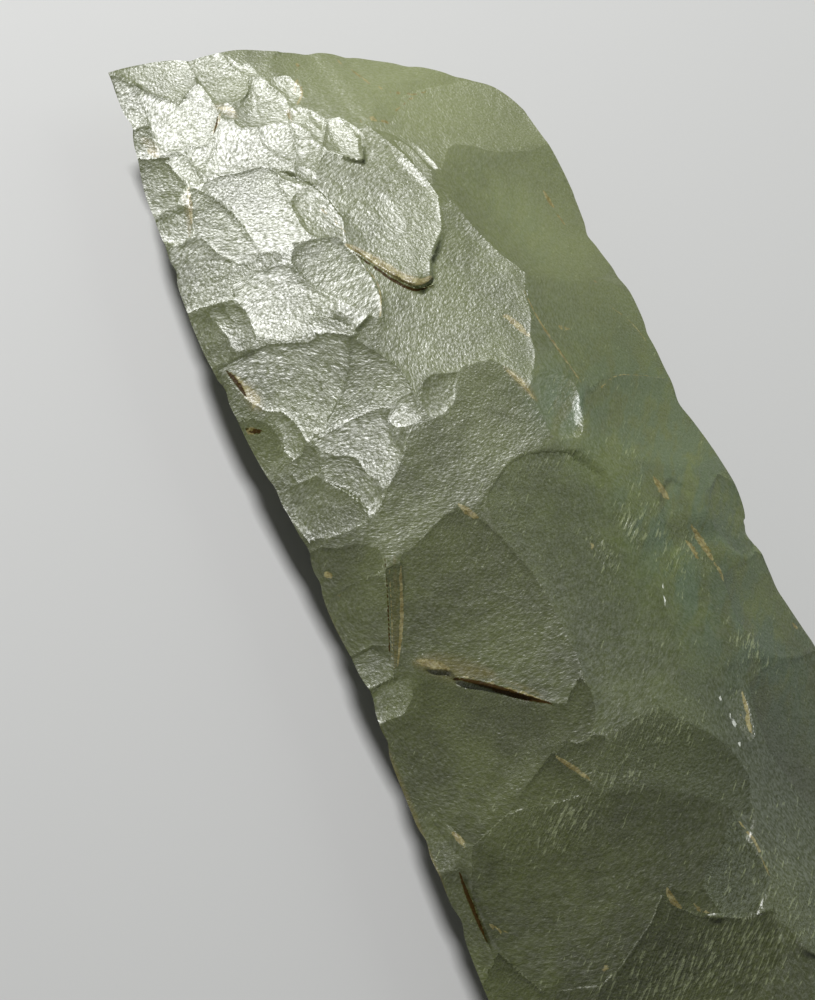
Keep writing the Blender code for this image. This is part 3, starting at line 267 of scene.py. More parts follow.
        (-18.8, 23.4), (-20, 22), (-21.3, 20.9), (-23, 20.3), (-26, 20.6), (-30, 22), (-32, 30), (-32, 40)],
        340, 0.3, 0.45, 0.6),
]

# Ledges where a flake broke off short: the points of the ledge line, with the stone lower on
# the line's right-hand side, the ledge's height, how far the low side takes to rise again,
# the depth of the crack at its foot, and how wide the ledge's own slope is
Ledge = namedtuple("Ledge", "line high reach crack wide", defaults=(0.3,))
UPPER_LEDGES = [
    Ledge([(0.6, 49.6), (-1.2, 48.7), (-3, 48.7), (-5, 50.6), (-6.8, 53.4), (-8.2, 56.6), (-9.6, 59.2)],
        0.75, 7.0, 0.5),
    Ledge([(-24.6, -0.4), (-23.6, -1.9), (-21.4, -3.4), (-20.9, -5), (-18.4, -7.2), (-15, -10.4),
        (-12, -13.2)], 0.6, 7.0, 0.12, 0.45),
]
CRACK_WIDTH = 0.4
LEDGE_BLEND = 0.05        # how near a ledge's line its pieces still blend into one
LEDGE_FADE = 0.2          # the share of a ledge's length over which each end dies away
LEDGE_POINTS = 6          # points on the smooth line for each one drawn

# Creases across flakes, which only the looks have
FINE_LEDGES = [
    Ledge([(-25.2, 66.4), (-27, 67.6), (-29, 69.4)], 0.12, 1.4, 0.06),
    Ledge([(-22.6, 62.6), (-24, 63.8), (-26.6, 65.6), (-29.4, 66.9)], 0.14, 1.5, 0.08),
    Ledge([(-23.2, 64.6), (-25, 65.8), (-27.4, 67.2)], 0.1, 1.2, 0.05),
    Ledge([(-27, 60.4), (-27.6, 61.8), (-28.4, 62.2), (-29.4, 63.8)], 0.12, 1.5, 0.06),
    Ledge([(-24.6, 57.6), (-26.4, 59), (-28.6, 60.6)], 0.1, 1.2, 0.05),
    Ledge([(-22.6, 68.4), (-24.4, 70.4), (-26.4, 71.6)], 0.1, 1.4, 0.05),
    Ledge([(-14, 45.2), (-15.2, 47.8), (-17, 50.2), (-19.6, 52.2)], 0.2, 1.6, 0.1),
    Ledge([(-10.2, 44.4), (-9.3, 47.6), (-8.7, 51), (-8.6, 54), (-9, 57.4)], 0.12, 2.0, 0.05),
    Ledge([(-8, 63), (-8.1, 66), (-8.6, 68.6), (-9.6, 71), (-11, 73.2), (-12.8, 75.8)], 0.3, 2.0, 0.25),
    Ledge([(-16.6, 97.2), (-18.4, 95.4), (-20.6, 94.4), (-23.6, 95)], 0.06, 1.2, 0.02),
    Ledge([(-17.2, 95.6), (-19, 94.2), (-21.4, 93.6)], 0.05, 1.0, 0.02),
    Ledge([(-10, 92.4), (-12.4, 91.9), (-15, 92.6)], 0.05, 1.0, 0.02),
    Ledge([(-10.4, 90.8), (-12.6, 90.4), (-15, 91)], 0.06, 0.9, 0.02),
    Ledge([(-22.3, 20.6), (-22.4, 23), (-23, 25), (-23.9, 26.8), (-25.2, 28.2)], 0.2, 1.5, 0.2),
    # arcs on the right-hand side, the shaded arc at the head of the large scar and the
    # cracked edge low on the left
    Ledge([(13.4, 53.1), (17.6, 57), (20, 61.6), (20.9, 67.7), (17.7, 71.4), (13.8, 70.4)], 0.3, 4.0, 0.0,
        2.2),
    Ledge([(12.6, 57), (15.6, 60), (17, 64), (16.4, 68.2), (13.2, 68.6)], 0.2, 3.0, 0.0, 1.6),
    Ledge([(24.6, 48.6), (27.4, 53), (28, 58), (26.4, 63.4)], 0.25, 4.0, 0.0, 1.8),
    Ledge([(13.4, 27.4), (12.5, 34.1), (11.9, 38.9), (11.9, 44), (12.4, 48.6)], 0.35, 3.4, 0.0, 1.2),
    Ledge([(32, 32.4), (30.2, 37.7), (26.7, 41.4)], 0.2, 2.8, 0.0, 1.0),
    Ledge([(-8.4, 12.4), (-7, 15.9), (-3.6, 18.8), (0, 19.4), (3.6, 18.8), (7.4, 17), (9.6, 13.4),
        (10.1, 9.4)], 0.55, 5.0, 0.0, 2.6),
    Ledge([(15.6, 5.4), (17.8, 9.4), (20.6, 11.4), (24.2, 8.4)], 0.25, 2.6, 0.0, 1.0),
    Ledge([(-31.4, -40.6), (-30.9, -36), (-30.6, -31), (-30.6, -27.6)], 0.3, 1.6, 0.3),
    Ledge([(6.6, -45.6), (6, -41), (4.4, -37.6)], 0.2, 2.0, 0.0, 0.5),
]

# Smaller facets, which only the looks have
FINE_FACETS = [
    # between the corner and the bright step
    Facet([(-22.6, 84.2), (-21.4, 84.3), (-20, 83.1), (-18.4, 83.6), (-17.6, 84.4), (-18.3, 82.4),
        (-19.1, 81.3), (-20.6, 80.3), (-21.9, 79.2), (-22.4, 81)], 130, 0.25, 0.15, 0.2),
    Facet([(-24.8, 84.4), (-23.4, 84.3), (-22.5, 82.6), (-22.3, 80.8), (-21.9, 79), (-22.2, 77.6),
        (-23.4, 77.6), (-24.4, 79.6), (-25.2, 81.6)], 105, 0.4, 0.15, 0.2),
    Facet([(-15.1, 89.5), (-13.2, 89.4), (-12.8, 87.6), (-13.2, 86), (-14.4, 86.3), (-15.2, 87)], 125, 0.3,
        0.1, 0.2),
    Facet([(-8.7, 92), (-8.2, 90.6), (-8.8, 88.8), (-9.6, 87), (-10.6, 85.8), (-12.4, 85), (-13.6, 84.6),
        (-13.4, 86.6), (-12.2, 87.8), (-10.6, 88.6), (-9.4, 90.2)], 194, 0.4, 0.15, 0.6),
    Facet([(-8.2, 92), (-6.6, 92.2), (-6, 90), (-5.4, 88.4), (-6.4, 87), (-8.2, 87.2), (-9.2, 87.4),
        (-8.4, 89.2)], 154, 0.65, 0.1, 0.3),
    Facet([(-9.3, 98.4), (-8.9, 97), (-8.5, 95.4), (-7, 95.3), (-6.7, 93.6), (-6.6, 92.4), (-7.8, 93),
        (-8.8, 94), (-9.6, 95.2), (-9.8, 97)], 180, 1, 0.1, 0.25),
    Facet([(-6, 90.6), (-4.6, 91.4), (-2.4, 91), (-2, 88.6), (-2.6, 86.4), (-4.2, 85.2), (-5.4, 85),
        (-5, 87)], 195, 0.7, 0.2, 0.3),
    Facet([(-11.2, 82.8), (-9.6, 82.9), (-8, 82.5), (-7.1, 81.4), (-7.4, 80), (-7.6, 78.6), (-8.3, 77),
        (-9.3, 75.6), (-10.2, 75.8), (-11.4, 77.6), (-12, 79.6), (-11.9, 81.2)], 170, 0.4, 0.15, 0.2),
    Facet([(-6.5, 82.2), (-5.8, 81.2), (-5.3, 79.6), (-5.2, 78.2), (-6.2, 77.8), (-7.2, 78.4), (-7.4, 80),
        (-7.2, 81.6)], 190, 0.6, 0.1, 0.2),
    Facet([(-7.5, 78.6), (-6.2, 78), (-5.4, 77.8), (-5.1, 76.4), (-5.3, 75.2), (-6.6, 73.6), (-7.6, 72.2),
        (-8.8, 73.6), (-9.9, 75), (-8.7, 76.6)], 115, 0.7, 0.1, 0.2),
    Facet([(-5.8, 84.7), (-5, 84.7), (-4.6, 82.6), (-4.8, 80.2), (-5.4, 80.8), (-6.2, 81.8), (-6.6, 82.6),
        (-6.4, 83.8)], 175, 0.6, 0.05, 0.2),
    Facet([(-4.6, 85), (-3.6, 84.2), (-2.6, 83), (-1.7, 81), (-2.6, 79.2), (-3.8, 77.6), (-4.8, 76.3),
        (-4.9, 79), (-4.6, 82)], 185, 1, 0.1, 0.2),
    Facet([(-3.4, 84), (-2.3, 82.4), (-2.6, 80), (-3.4, 79), (-3.8, 81)], 200, 0.5, 0.1, 0.2),
    Facet([(-9.9, 74.9), (-8.8, 74), (-7.7, 72.2), (-8.5, 70.3), (-9.3, 71.7), (-10.5, 73)], 22, 1.4, 0.1,
        0.2),
    Facet([(-13, 76.2), (-11.8, 75), (-10.4, 73.2), (-9.2, 71.2), (-9.8, 70.6), (-11, 72), (-12.2, 73.6)],
        60, 0.35, 0.2, 0.2),
    Facet([(-12.8, 74), (-12, 73), (-11.2, 71.4), (-10.9, 70.6), (-12.2, 70.2), (-13, 72)], 225, 0.15, 0.1,
        0.2),
    # in the two leaf-shaped scars
    Facet([(-1.6, 80.6), (-1.9, 78.4), (-2.2, 76.4), (-3, 74.2), (-3.9, 74.8), (-4.7, 76.2), (-3.8, 77.6),
        (-2.6, 79.2)], 192, 0.8, 0.1, 0.3),
    Facet([(0.3, 80.4), (1.1, 78.6), (1.6, 77), (1.1, 75.4), (0.6, 76), (0.9, 77.2), (0.4, 78.8)], 5, 0.35,
        0.05, 0.15),
    Facet([(-2.4, 66), (-0.4, 66.6), (0.8, 64.8), (1.2, 62), (0.2, 58.6), (-1.2, 56.4), (-2.6, 58),
        (-3, 62)], 170, 0.5, 0.05, 0.75),
    Facet([(4, 70.6), (5.2, 70.6), (5.9, 67.6), (6.4, 64), (6.5, 61.6), (5.6, 62), (5, 64.6), (4.4, 67.6)],
        155, 1.05, 0.05, 0.3),
    Facet([(2, 72), (3.8, 71), (4.4, 67.6), (5, 64.6), (4.4, 63.4), (3, 65.4), (2, 68.6)], 90, 0.1, 0.05,
        0.75),
    Facet([(7.6, 73.2), (8.6, 72.8), (9.4, 69.6), (9.8, 66.8), (8.9, 67), (8.2, 69.4)], 180, 1.75, 0.05,
        0.25),
    Facet([(5.6, 73.6), (7, 73), (7.8, 70.4), (8.2, 67), (7, 64), (6.6, 66), (6.3, 69)], 180, 1.4, 0.05,
        0.75),
    # down the left edge
    Facet([(-28.8, 86), (-25.6, 84.2), (-25, 81), (-24.6, 78.4), (-27, 76), (-31, 75.8), (-31, 81)], 220,
        0.5, 0.2, 0.3),
    Facet([(-29.4, 90.2), (-26, 90.1), (-25.5, 88.4), (-25.8, 86), (-27, 85.6), (-29.4, 86.6)], 200, 0.4,
        0.1, 0.2),
    Facet([(-30.6, 75.4), (-27, 75.2), (-25.8, 74.4), (-26.5, 72), (-27.5, 70.2), (-28.9, 70),
        (-30.9, 72.2)], 182, 0.2, 0.15, 0.3),
    Facet([(-17, 60), (-15.4, 62.6), (-14, 62.4), (-12.6, 62), (-11, 61.6), (-9.6, 60.8), (-9.5, 58.8),
        (-9, 56.6), (-8.7, 54), (-8.7, 51.4), (-9.2, 48.4), (-10, 45.8), (-12, 47.4), (-14, 51),
        (-16.4, 55.4)], 310, 0.4, 0.2, 0.2),
    Facet([(-25, 60.6), (-22, 60.4), (-19, 60.6), (-17, 59.8), (-16.4, 55.4), (-14.4, 51), (-16, 49),
        (-19.6, 48.4), (-22, 49), (-24, 50.4), (-25.8, 52), (-25.2, 55), (-25.6, 58)], 90, 0.5, 0.2, 0.3),
    Facet([(-20, 52.6), (-17.4, 50.4), (-15.4, 48), (-14, 45.4), (-15, 45.4), (-16.8, 47.4), (-19, 48.4),
        (-20.4, 50)], 200, 0.25, 0.05, 0.2),
    Facet([(-32.4, 59.8), (-30, 58.6), (-29, 56), (-28.7, 53.4), (-29.4, 50.7), (-33, 50.6)], 164, 0.26,
        0.2, 0.3),
    Facet([(-29.6, 59.4), (-28.2, 58.6), (-27.2, 55.4), (-26.8, 53.2), (-27.6, 52.6), (-28.6, 53),
        (-29, 56)], 47, 0.3, 0.1, 0.2),
    Facet([(-27.4, 58.2), (-26, 57.8), (-25.3, 54), (-25.6, 51.6), (-26.2, 50.6), (-28.4, 50.8),
        (-28.8, 52.6), (-27.2, 52.8), (-27, 55)], 65, 0.25, 0.1, 0.2),
    Facet([(-32, 70.4), (-28.9, 69.8), (-27.4, 70), (-26.4, 70.2), (-25.6, 67.6), (-24.8, 65.6), (-23, 63),
        (-21.6, 62.4), (-20, 63.2), (-17.4, 62.2), (-18, 60.8), (-22, 60.6), (-25, 60.8), (-26, 58.4),
        (-28, 59), (-29.6, 59.6), (-33, 60.4)], 117, 0.11, 0.1, 0.3),
    # in and beside the round scar
    Facet([(-31.2, 50), (-29, 49.8), (-25, 49.7), (-23.4, 49.1), (-21.5, 48), (-20, 47), (-18.6, 47.4),
        (-17, 46.8), (-15.6, 45.4), (-16.6, 41.4), (-18, 39.6), (-20.5, 37.6), (-22.6, 36), (-25, 35),
        (-25.4, 38.4), (-26.2, 40.4), (-28, 41.6), (-29.4, 44)], 55, 0.55, 0.25, 0.3),
    Facet([(-24.4, 34.8), (-22, 36.2), (-20, 37.8), (-18, 39.8), (-16.6, 41.6), (-15.3, 44.8),
        (-14.2, 43.8), (-12.8, 41.8), (-11.6, 40), (-10.9, 38.2), (-10.6, 36), (-10.7, 34.6), (-12, 34.2),
        (-13.6, 33.6), (-15, 34.6), (-19, 35)], 60, 0.4, 0.15, 0.3),
    Facet([(-24.4, 34.4), (-22, 34.8), (-19, 35), (-15, 34.6), (-14.8, 32.4), (-15.4, 29.6), (-15.3, 27),
        (-17, 25), (-18.8, 23.4), (-20.2, 24.6), (-20.2, 27.4), (-20.4, 29.6), (-21.6, 30.6), (-22.6, 31.2),
        (-23.8, 32.6)], 70, 0.6, 0.15, 0.25),
    Facet([(-14.8, 32.4), (-13.6, 34), (-11.6, 34.8), (-10.7, 34.6), (-10.9, 32), (-10.5, 31.2),
        (-11.6, 30.2), (-13, 30.4), (-14.2, 31)], 100, 0.6, 0.1, 0.25),
    Facet([(-24.8, 31.2), (-23.4, 31.4), (-21.6, 30.5), (-20.5, 29.4), (-20.1, 27), (-19.2, 24.6),
        (-20, 22.2), (-21.3, 21), (-22.2, 21), (-22.3, 23), (-22.9, 25), (-23.8, 27), (-25, 28.2)], 20, 0.4,
        0.1, 0.25),
    Facet([(-29.4, 30), (-26, 29.9), (-25, 28.4), (-23.9, 26.8), (-23, 25), (-22.4, 23), (-22.3, 20.6),
        (-25, 20.4), (-28, 21), (-30.6, 24)], 130, 0.3, 0.2, 0.25),
    Facet([(-27.6, 39.4), (-26.2, 40.2), (-25.4, 38.6), (-25.3, 36), (-25.4, 34.8), (-26.2, 33.8),
        (-27.6, 33.6), (-28, 35.4), (-27.4, 37.4)], 83, 0.57, 0.1, 0.2),
    Facet([(-28.2, 30), (-25, 30), (-24.6, 32), (-24.6, 34), (-25.6, 34.8), (-26.4, 33.6), (-28.4, 33.4)],
        30, 0.2, 0.1, 0.2),
    Facet([(-32.4, 42), (-30, 41.6), (-28.4, 39.8), (-27.9, 37.6), (-28.2, 35.2), (-29.6, 34), (-33, 34.4)],
        205, 0.5, 0.25, 0.3),
    Facet([(-8.6, 35.4), (-6.8, 36), (-5.2, 35.2), (-3.4, 34.8), (-4.4, 32.6), (-6, 31), (-8, 30),
        (-9.8, 30.2), (-10.2, 32.4)], 200, 0.15, 0.15, 0.25),
    Facet([(12, 27.4), (11.2, 27), (10, 25), (9.3, 23.4), (9, 22), (9.8, 21.8), (10.8, 23.4), (11.4, 25.2),
        (12, 26.8)], 141, 1.3, 0.05, 0.15),
    Facet([(-30, 20.6), (-27.4, 19.4), (-24.4, 18.2), (-23, 16.4), (-22.6, 13.9), (-21, 14.2), (-18, 14.8),
        (-15.5, 15.8), (-12, 17), (-10, 14.2), (-8.8, 15.2), (-7.6, 16.8), (-5.4, 18.4), (-3.4, 19.8),
        (-1, 20.4), (2, 20), (4.6, 21.4), (5, 24), (5, 28), (3.6, 33), (2, 35), (-2, 35.4), (-4.6, 33.4),
        (-5.6, 31.4), (-8, 29.8), (-12.6, 29.8), (-14, 28.4), (-15.5, 26.4), (-17, 24.8), (-18.8, 23.2),
        (-20, 21.8), (-21.3, 20.8), (-23, 20.2), (-26, 20.2)], 255, 0.35, 0.1, 1.0),
    # round the cracked ledge
    Facet([(-12.2, -13.4), (-10.4, -14.4), (-9.4, -13.4), (-7.4, -12), (-6.8, -14), (-7.6, -17),
        (-9.4, -19.4), (-11, -20.4), (-12, -19), (-12.3, -16)], 250, 0.95, 0.1, 0.3),
    Facet([(-13.2, -18.4), (-14.4, -20.2), (-17, -22), (-20, -23.4), (-23, -25), (-26, -26), (-28.4, -26.2),
        (-29.4, -23.6), (-27.4, -20.6), (-24, -19), (-20, -17.4), (-16, -16.6), (-13.6, -16.4)], 220, 0.1,
        0.02, 2.6),
    Facet([(-22.8, -24.2), (-20.2, -22.4), (-17.3, -20.8), (-14.8, -19.4), (-13.2, -22.2), (-11.8, -25),
        (-12.2, -26.3), (-15, -26), (-17, -25.9), (-19.4, -25.2)], 230, 1.45, 0.1, 0.3),
    Facet([(-23.4, 13.2), (-21, 13.2), (-22, 10), (-24, 5.6), (-26.4, 0.2), (-27.4, -0.4), (-26.2, 4),
        (-24.8, 8)], 230, 1.1, 0.15, 0.2),
    # short flakes along the left edge, bit to poll
    Facet([(-32.4, 20.6), (-29, 20.4), (-27.5, 19.2), (-24.5, 18), (-23.2, 16.6), (-23, 15), (-23.6, 13.4),
        (-26, 13), (-28.6, 13.2), (-32.6, 14)], 190, 1.1, 0.3, 0.3),
    Facet([(-32.6, 14.3), (-29, 13.7), (-26, 13.5), (-24, 12.6), (-24.8, 8), (-26.6, 3.4), (-28.4, 4.6),
        (-32.4, 4.8)], 190, 0.7, 0.2, 0.3),
    Facet([(-32.4, 4.6), (-28.6, 4.2), (-27, 1.4), (-27.8, -0.6), (-32.4, 0)], 54, 0.6, 0.15, 0.3),
    Facet([(-32.6, -0.4), (-28.6, -0.8), (-26, -1.6), (-26.4, -4), (-28.4, -5.8), (-30, -5.6), (-33, -4)],
        151, 0.53, 0.2, 0.3),
    Facet([(-34, -17), (-31, -18), (-30.8, -22), (-30, -26.6), (-34, -27)], 133, 0.77, 0.2, 0.25),
    Facet([(-34, -27.4), (-30.6, -27.8), (-30.5, -33), (-30.4, -37), (-30.2, -40.8), (-31.4, -43),
        (-35, -44)], 196, 0.9, 0.3, 0.2),
    # right of the middle, and the streaky scars near the poll end
    Facet([(10.6, -21), (14.6, -20.6), (14, -24), (13, -27.4), (11.6, -28), (10.8, -25)], 150, 1.5, 0.1,
        0.2),
    Facet([(34, -17.2), (31, -17.6), (28, -18.2), (24, -18.4), (20, -18.6), (16, -20), (14.8, -24),
        (14, -30), (16, -38), (22, -44), (34, -46)], 330, 0.3, 0.2, 0.5),
    Facet([(-9.2, -41.8), (-8.8, -44.8), (-6.4, -46.4), (-5.4, -47.6), (-1, -49.6), (3, -50), (1, -56),
        (-6, -60), (-16, -58), (-24, -52), (-22, -50), (-19, -48.8), (-16, -46.8), (-12.8, -45)], 275, 1.05,
        0.25, 0.5),
    # slivers between the scars
    Facet([(-12.6, -18.8), (-11, -20.2), (-9.4, -19.4), (-7.8, -20.4), (-8.4, -21.2), (-10.8, -23.2),
        (-11.9, -26.4), (-13.4, -22.6), (-14.8, -20)], 280, 1.0, 0.02, 0.3, 0),
    Facet([(-10.4, -41.2), (-9.2, -41.4), (-7.6, -42.8), (-6, -43.8), (-4.6, -43.6), (-4.1, -47.4),
        (-6.6, -46.9), (-8.8, -44.8), (-9.6, -43)], 280, 1.4, 0.02, 0.2, 0),
    Facet([(-30.6, -40), (-28, -47.2), (-22, -49.8), (-23.6, -52), (-27, -56), (-34, -56), (-35, -44)], 280,
        0.9, 0.05, 0.3),
]

# What only the looks add to the facets
FACET_LEAN = 0.22         # the slope that the looks give a facet whose lean is 1
# The share of a facet's own unevenness that the looks take away, by how steep it is
CALM = ((0.0, 0.4), (0.08, 0.5), (0.2, 0.8), (0.5, 0.75), (0.9, 0.0))
RIM_LIP = 0.11            # the slope that the looks add along a crisp rim
LIP_WIDTH = 0.45          # and how far in from the rim
SOFT_WALL = 1.6           # a facet with a break wider than this takes its lean up gradually
LEAST_UP = 0.3            # least upward part of a normal when its slope is worked out
FLAKE_START = 0.75        # how far behind its middle a flake's crinkles start, in its lengths
FINE_ROWS, FINE_COLUMNS = 880, 300
FINE_TRIANGLES = 190000
SHARP_ANGLE = 40.0        # edges bent more than this stay sharp, in degrees
UPPER_SEED, UNDER_SEED, FLAKE_SEED = 40, 240, 11

# Marks on the stone. A stroke is a bent line on the plan, as wide as width at its middle
Stroke = namedtuple("Stroke", "line width strength", defaults=(1.0,))
STROKE_END = 0.35         # a stroke's width at its ends, as a share of its width
STROKE_SWELL = 2.6        # how fast it widens towards its middle
SHOWN_FROM = 0.9          # marks start at this share of the sharp edge's height
HIDDEN = 2.0              # takes a mark off the underside
TAN_STROKES = [
    Stroke([(-24.4, 0), (-23, -1.4), (-21.4, -3)], 1.3),
    Stroke([(-21, -4.2), (-18, -6.6), (-15, -9.8), (-12.4, -12.8)], 0.7, 0.8),
    Stroke([(-22.5, 14.5), (-25.2, 6.4), (-27.4, 0.9)], 0.3, 0.8),
    Stroke([(-21.3, 13.4), (-24.1, 5.9), (-26.9, 0.3)], 0.45, 1.15),
    Stroke([(-9.4, 59), (-7.5, 56.4), (-5.8, 53.3), (-4.2, 50.8), (-2.6, 49.6), (-0.8, 49.6)], 1.4, 1.3),
    Stroke([(-30.2, 49.2), (-29.4, 46), (-29, 43)], 1.2),
    Stroke([(-29.2, 45.4), (-28.4, 43.4)], 1.8),
    Stroke([(-31.2, 40.4), (-30.2, 39.8)], 1.2),
    Stroke([(3, 33.2), (4.2, 30.6), (5, 27.4)], 0.8),
    Stroke([(7, 41.4), (8, 39.6), (9, 37)], 1.3),
    Stroke([(-11.6, 17), (-10.8, 15.4), (-10, 14)], 1.2),
    Stroke([(-14.6, -20), (-13.4, -22.2), (-12, -25)], 0.8),
    Stroke([(-29.4, -23), (-28.7, -26)], 0.9),
    Stroke([(-30, -35.8), (-29.6, -37.2), (-28.5, -38.4)], 0.6),
    Stroke([(-8.8, -41.8), (-8.9, -43.4), (-8.4, -44.9)], 0.9, 1.1),
    Stroke([(-7.2, -44.2), (-6.6, -45.6), (-5.4, -47)], 0.6, 1.1),
    Stroke([(-20.5, -47), (-20, -48.5)], 0.8),
    Stroke([(-29.7, 17), (-29.2, 16)], 1.0),
    Stroke([(-30, 13), (-29.2, 12.6)], 1.0),
    Stroke([(-24.2, 78.5), (-25.2, 75.4), (-26.3, 72.2)], 0.7),
    Stroke([(-26.8, 86.6), (-26, 84.6)], 1.3, 0.9),
    Stroke([(-15, 89), (-13.6, 88.4), (-13, 87.2)], 1.3, 0.8),
    Stroke([(-17.5, 85), (-16, 86.6), (-15, 88)], 0.6),
    Stroke([(-5.6, 85), (-6.3, 83.6), (-6.5, 82.2)], 0.5, 0.8),
    Stroke([(-2, 91.4), (-1.8, 88.6), (-3, 86.2), (-4.4, 85)], 0.7, 0.8),
    Stroke([(2.5, 78.7), (4.9, 78.3), (6.6, 77.2)], 1.0, 1.1),
    Stroke([(1.1, 94.7), (-1.8, 89.9), (-4.2, 86)], 0.5, 0.9),
    Stroke([(5.6, 93.9), (7.5, 89.5), (9.2, 84.9), (12.1, 83), (14.9, 82.4), (18.7, 83.3)], 0.5, 0.95),
    Stroke([(9, 79.2), (11.8, 80.9), (14.9, 82.4)], 0.4, 0.85),
    Stroke([(-8.6, 54.5), (-8.3, 51.1), (-9.4, 47.9), (-11.2, 44.8)], 0.4, 0.85),
    Stroke([(-12.3, 68.8), (-9.5, 65.4), (-8.5, 60.4)], 0.35, 0.8),
    Stroke([(-23.7, 61), (-24.4, 58.8)], 0.6, 0.9),
    Stroke([(26.7, 61.8), (26.9, 58.4)], 1.0),
    Stroke([(26.9, 58), (27.4, 55)], 0.6, 0.8),
    Stroke([(26.7, 40.9), (29.6, 38.4), (31.6, 33.4)], 0.45, 0.7),
    Stroke([(14.4, 37.6), (15.8, 37.3), (17, 36.7)], 1.2, 0.9),
    Stroke([(11.9, 44), (11.8, 39.4), (12.5, 34.1), (13.4, 27.9)], 0.7, 0.85),
    Stroke([(26, 45.4), (26.6, 44)], 0.8, 0.8),
    Stroke([(17.9, 11.8), (18.4, 8.8)], 1.7),
    Stroke([(20.3, 4), (20.8, 0.6), (20.9, -1.8)], 1.6),
    Stroke([(20.8, -1.2), (21.2, -3), (20.9, -5)], 0.8),
    Stroke([(18, 2.6), (18.4, 0.6), (18.2, -1.6)], 1.4, 0.8),
    Stroke([(3, 6), (3.4, 4.4)], 1.2, 0.8),
    Stroke([(14.2, -21.1), (13.6, -23.6), (12.7, -25.9)], 0.7, 1.2),
    Stroke([(31, -12.6), (31.4, -13.8)], 1.0),
    Stroke([(12.3, -24), (12.8, -25.6), (12.3, -27.2)], 0.9, 0.9),
    Stroke([(15.2, 26.4), (20, 28.4), (26, 28.4), (31, 28)], 0.4, 0.6),
    Stroke([(-29.1, -11.7), (-29.5, -13), (-29.3, -14.4)], 0.8, 1.1),
    Stroke([(4.2, -37.2), (4.8, -41), (4.4, -45.6)], 0.7, 0.8),
]
BROWN_STROKES = [
    Stroke([(-30.7, -28.4), (-30.8, -32.3), (-31, -38)], 0.6, 1.2),
    Stroke([(-22.9, 14.7), (-25.6, 6.5), (-27.6, 1.1)], 0.3, 0.8),
    Stroke([(-30.6, 49.4), (-29.9, 47), (-29.6, 44.8)], 0.7),
    Stroke([(-31.2, 40.6), (-30, 39.6), (-29.2, 39.2)], 0.8),
    Stroke([(-17.6, 84.6), (-16.4, 86.2), (-15.4, 87.8)], 0.4, 0.8),
    Stroke([(-21.2, -4.4), (-18, -7.2), (-15, -10.4), (-12, -13.4)], 0.8),
    Stroke([(-9.1, 57.4), (-7.8, 54.4), (-5.8, 50.8), (-3.2, 48.4), (-0.9, 48.5)], 0.5),
]
GOLD_STROKES = [
    Stroke([(-24.6, -0.2), (-22.5, -1.4), (-20.4, -3.4), (-17, -6)], 4.6),
    Stroke([(-18, -5.6), (-15, -8.6), (-12.4, -12)], 2.2, 0.6),
    Stroke([(-9, 58.6), (-7, 55.6), (-4.6, 51.4), (-2, 49.6)], 2.6),
    Stroke([(-29.4, 47), (-28.8, 44), (-29, 41.6)], 3.0),
    Stroke([(-21.8, 14.2), (-24.7, 6.2), (-27.2, 0.4)], 1.4, 0.8),
    Stroke([(-15.2, 89.6), (-14, 88.4), (-13.2, 86.4)], 2.6),
    Stroke([(-26.8, 88.6), (-26, 86.6), (-25.8, 85)], 2.0),
    Stroke([(-5.9, 84.6), (-6.4, 82.6)], 1.4),
    Stroke([(3, 33.4), (4.4, 30.4), (5.2, 27.2)], 2.2),
    Stroke([(-25.4, 77.6), (-26.2, 73.4), (-27.4, 70.4)], 1.2),
    Stroke([(-31.4, 30), (-31.8, 12), (-32.2, -10), (-33, -30)], 1.6, 0.9),
]
PALE_STROKES = [
    Stroke([(9, -18.2), (9.6, -19.8), (10.2, -21.2)], 0.4, 0.9),
    Stroke([(10.4, -23.2), (10.6, -25.6)], 0.7, 1.1),
    Stroke([(9.6, -27.2), (10, -28.9)], 0.45),
    Stroke([(9.7, -30.2), (10, -31.2)], 0.4),
    Stroke([(11.3, -0.8), (10.4, -3.4), (8.8, -7)], 0.3, 0.75),
    Stroke([(13.5, 46), (11.5, 42)], 0.4, 0.7),
]

# Zones on the plan: middle, half sizes, strength
Zone = namedtuple("Zone", "x y wide long strength")
# fine pale flecks
FLECK_ZONES = [
    Zone(-17, -28.4, 6, 4, 1.0), Zone(-9, -26, 6, 3, 0.7), Zone(-8, -53, 20, 7, 0.95),
    Zone(0, -22.4, 8, 3, 0.75), Zone(5, -45, 9, 8, 0.55), Zone(19.4, -15.2, 2.6, 3, 1.5),
    Zone(14, 3, 3.6, 9, 0.8), Zone(10.1, 6, 1.8, 4, 1.3), Zone(-6, 12, 4, 7, 0.4), Zone(4.6, 3, 2, 4, 0.9),
    Zone(3, 18, 8, 2, 0.7), Zone(15.8, 16, 2, 3, 0.8), Zone(18.3, 1.3, 1.6, 3, 1.2),
]
# blue-green veils
BLUE_ZONES = [
    Zone(24, 14, 12, 22, 1.0), Zone(14, 0, 5, 20, 0.8), Zone(22, -18, 10, 18, 0.8), Zone(10, 26, 6, 6, 0.9),
    Zone(20, 56, 5, 12, 0.5),
]
# painted light: paler colour towards the bit end and on the right, where the key light falls strongest
PAINTED_LIGHT_ZONES = [
    Zone(16, 84, 26, 20, 1.3), Zone(24, 54, 16, 24, 0.9), Zone(-6, 50, 30, 50, 0.35),
    Zone(24, 18, 12, 16, 0.5),
]
# painted shade: darker colour towards the poll end and along the right-hand side, where less light falls
PAINTED_SHADE_ZONES = [
    Zone(12, -34, 22, 20, 1.0), Zone(2, -6, 10, 18, 0.5), Zone(26, -26, 10, 14, 0.6),
    Zone(26, 36, 10, 12, 0.3),
]
# matt stone
MATT_ZONES = [
    Zone(24, 14, 14, 44, 1.0), Zone(12, -2, 12, 24, 1.0), Zone(2, 8, 7, 10, 0.5),
]

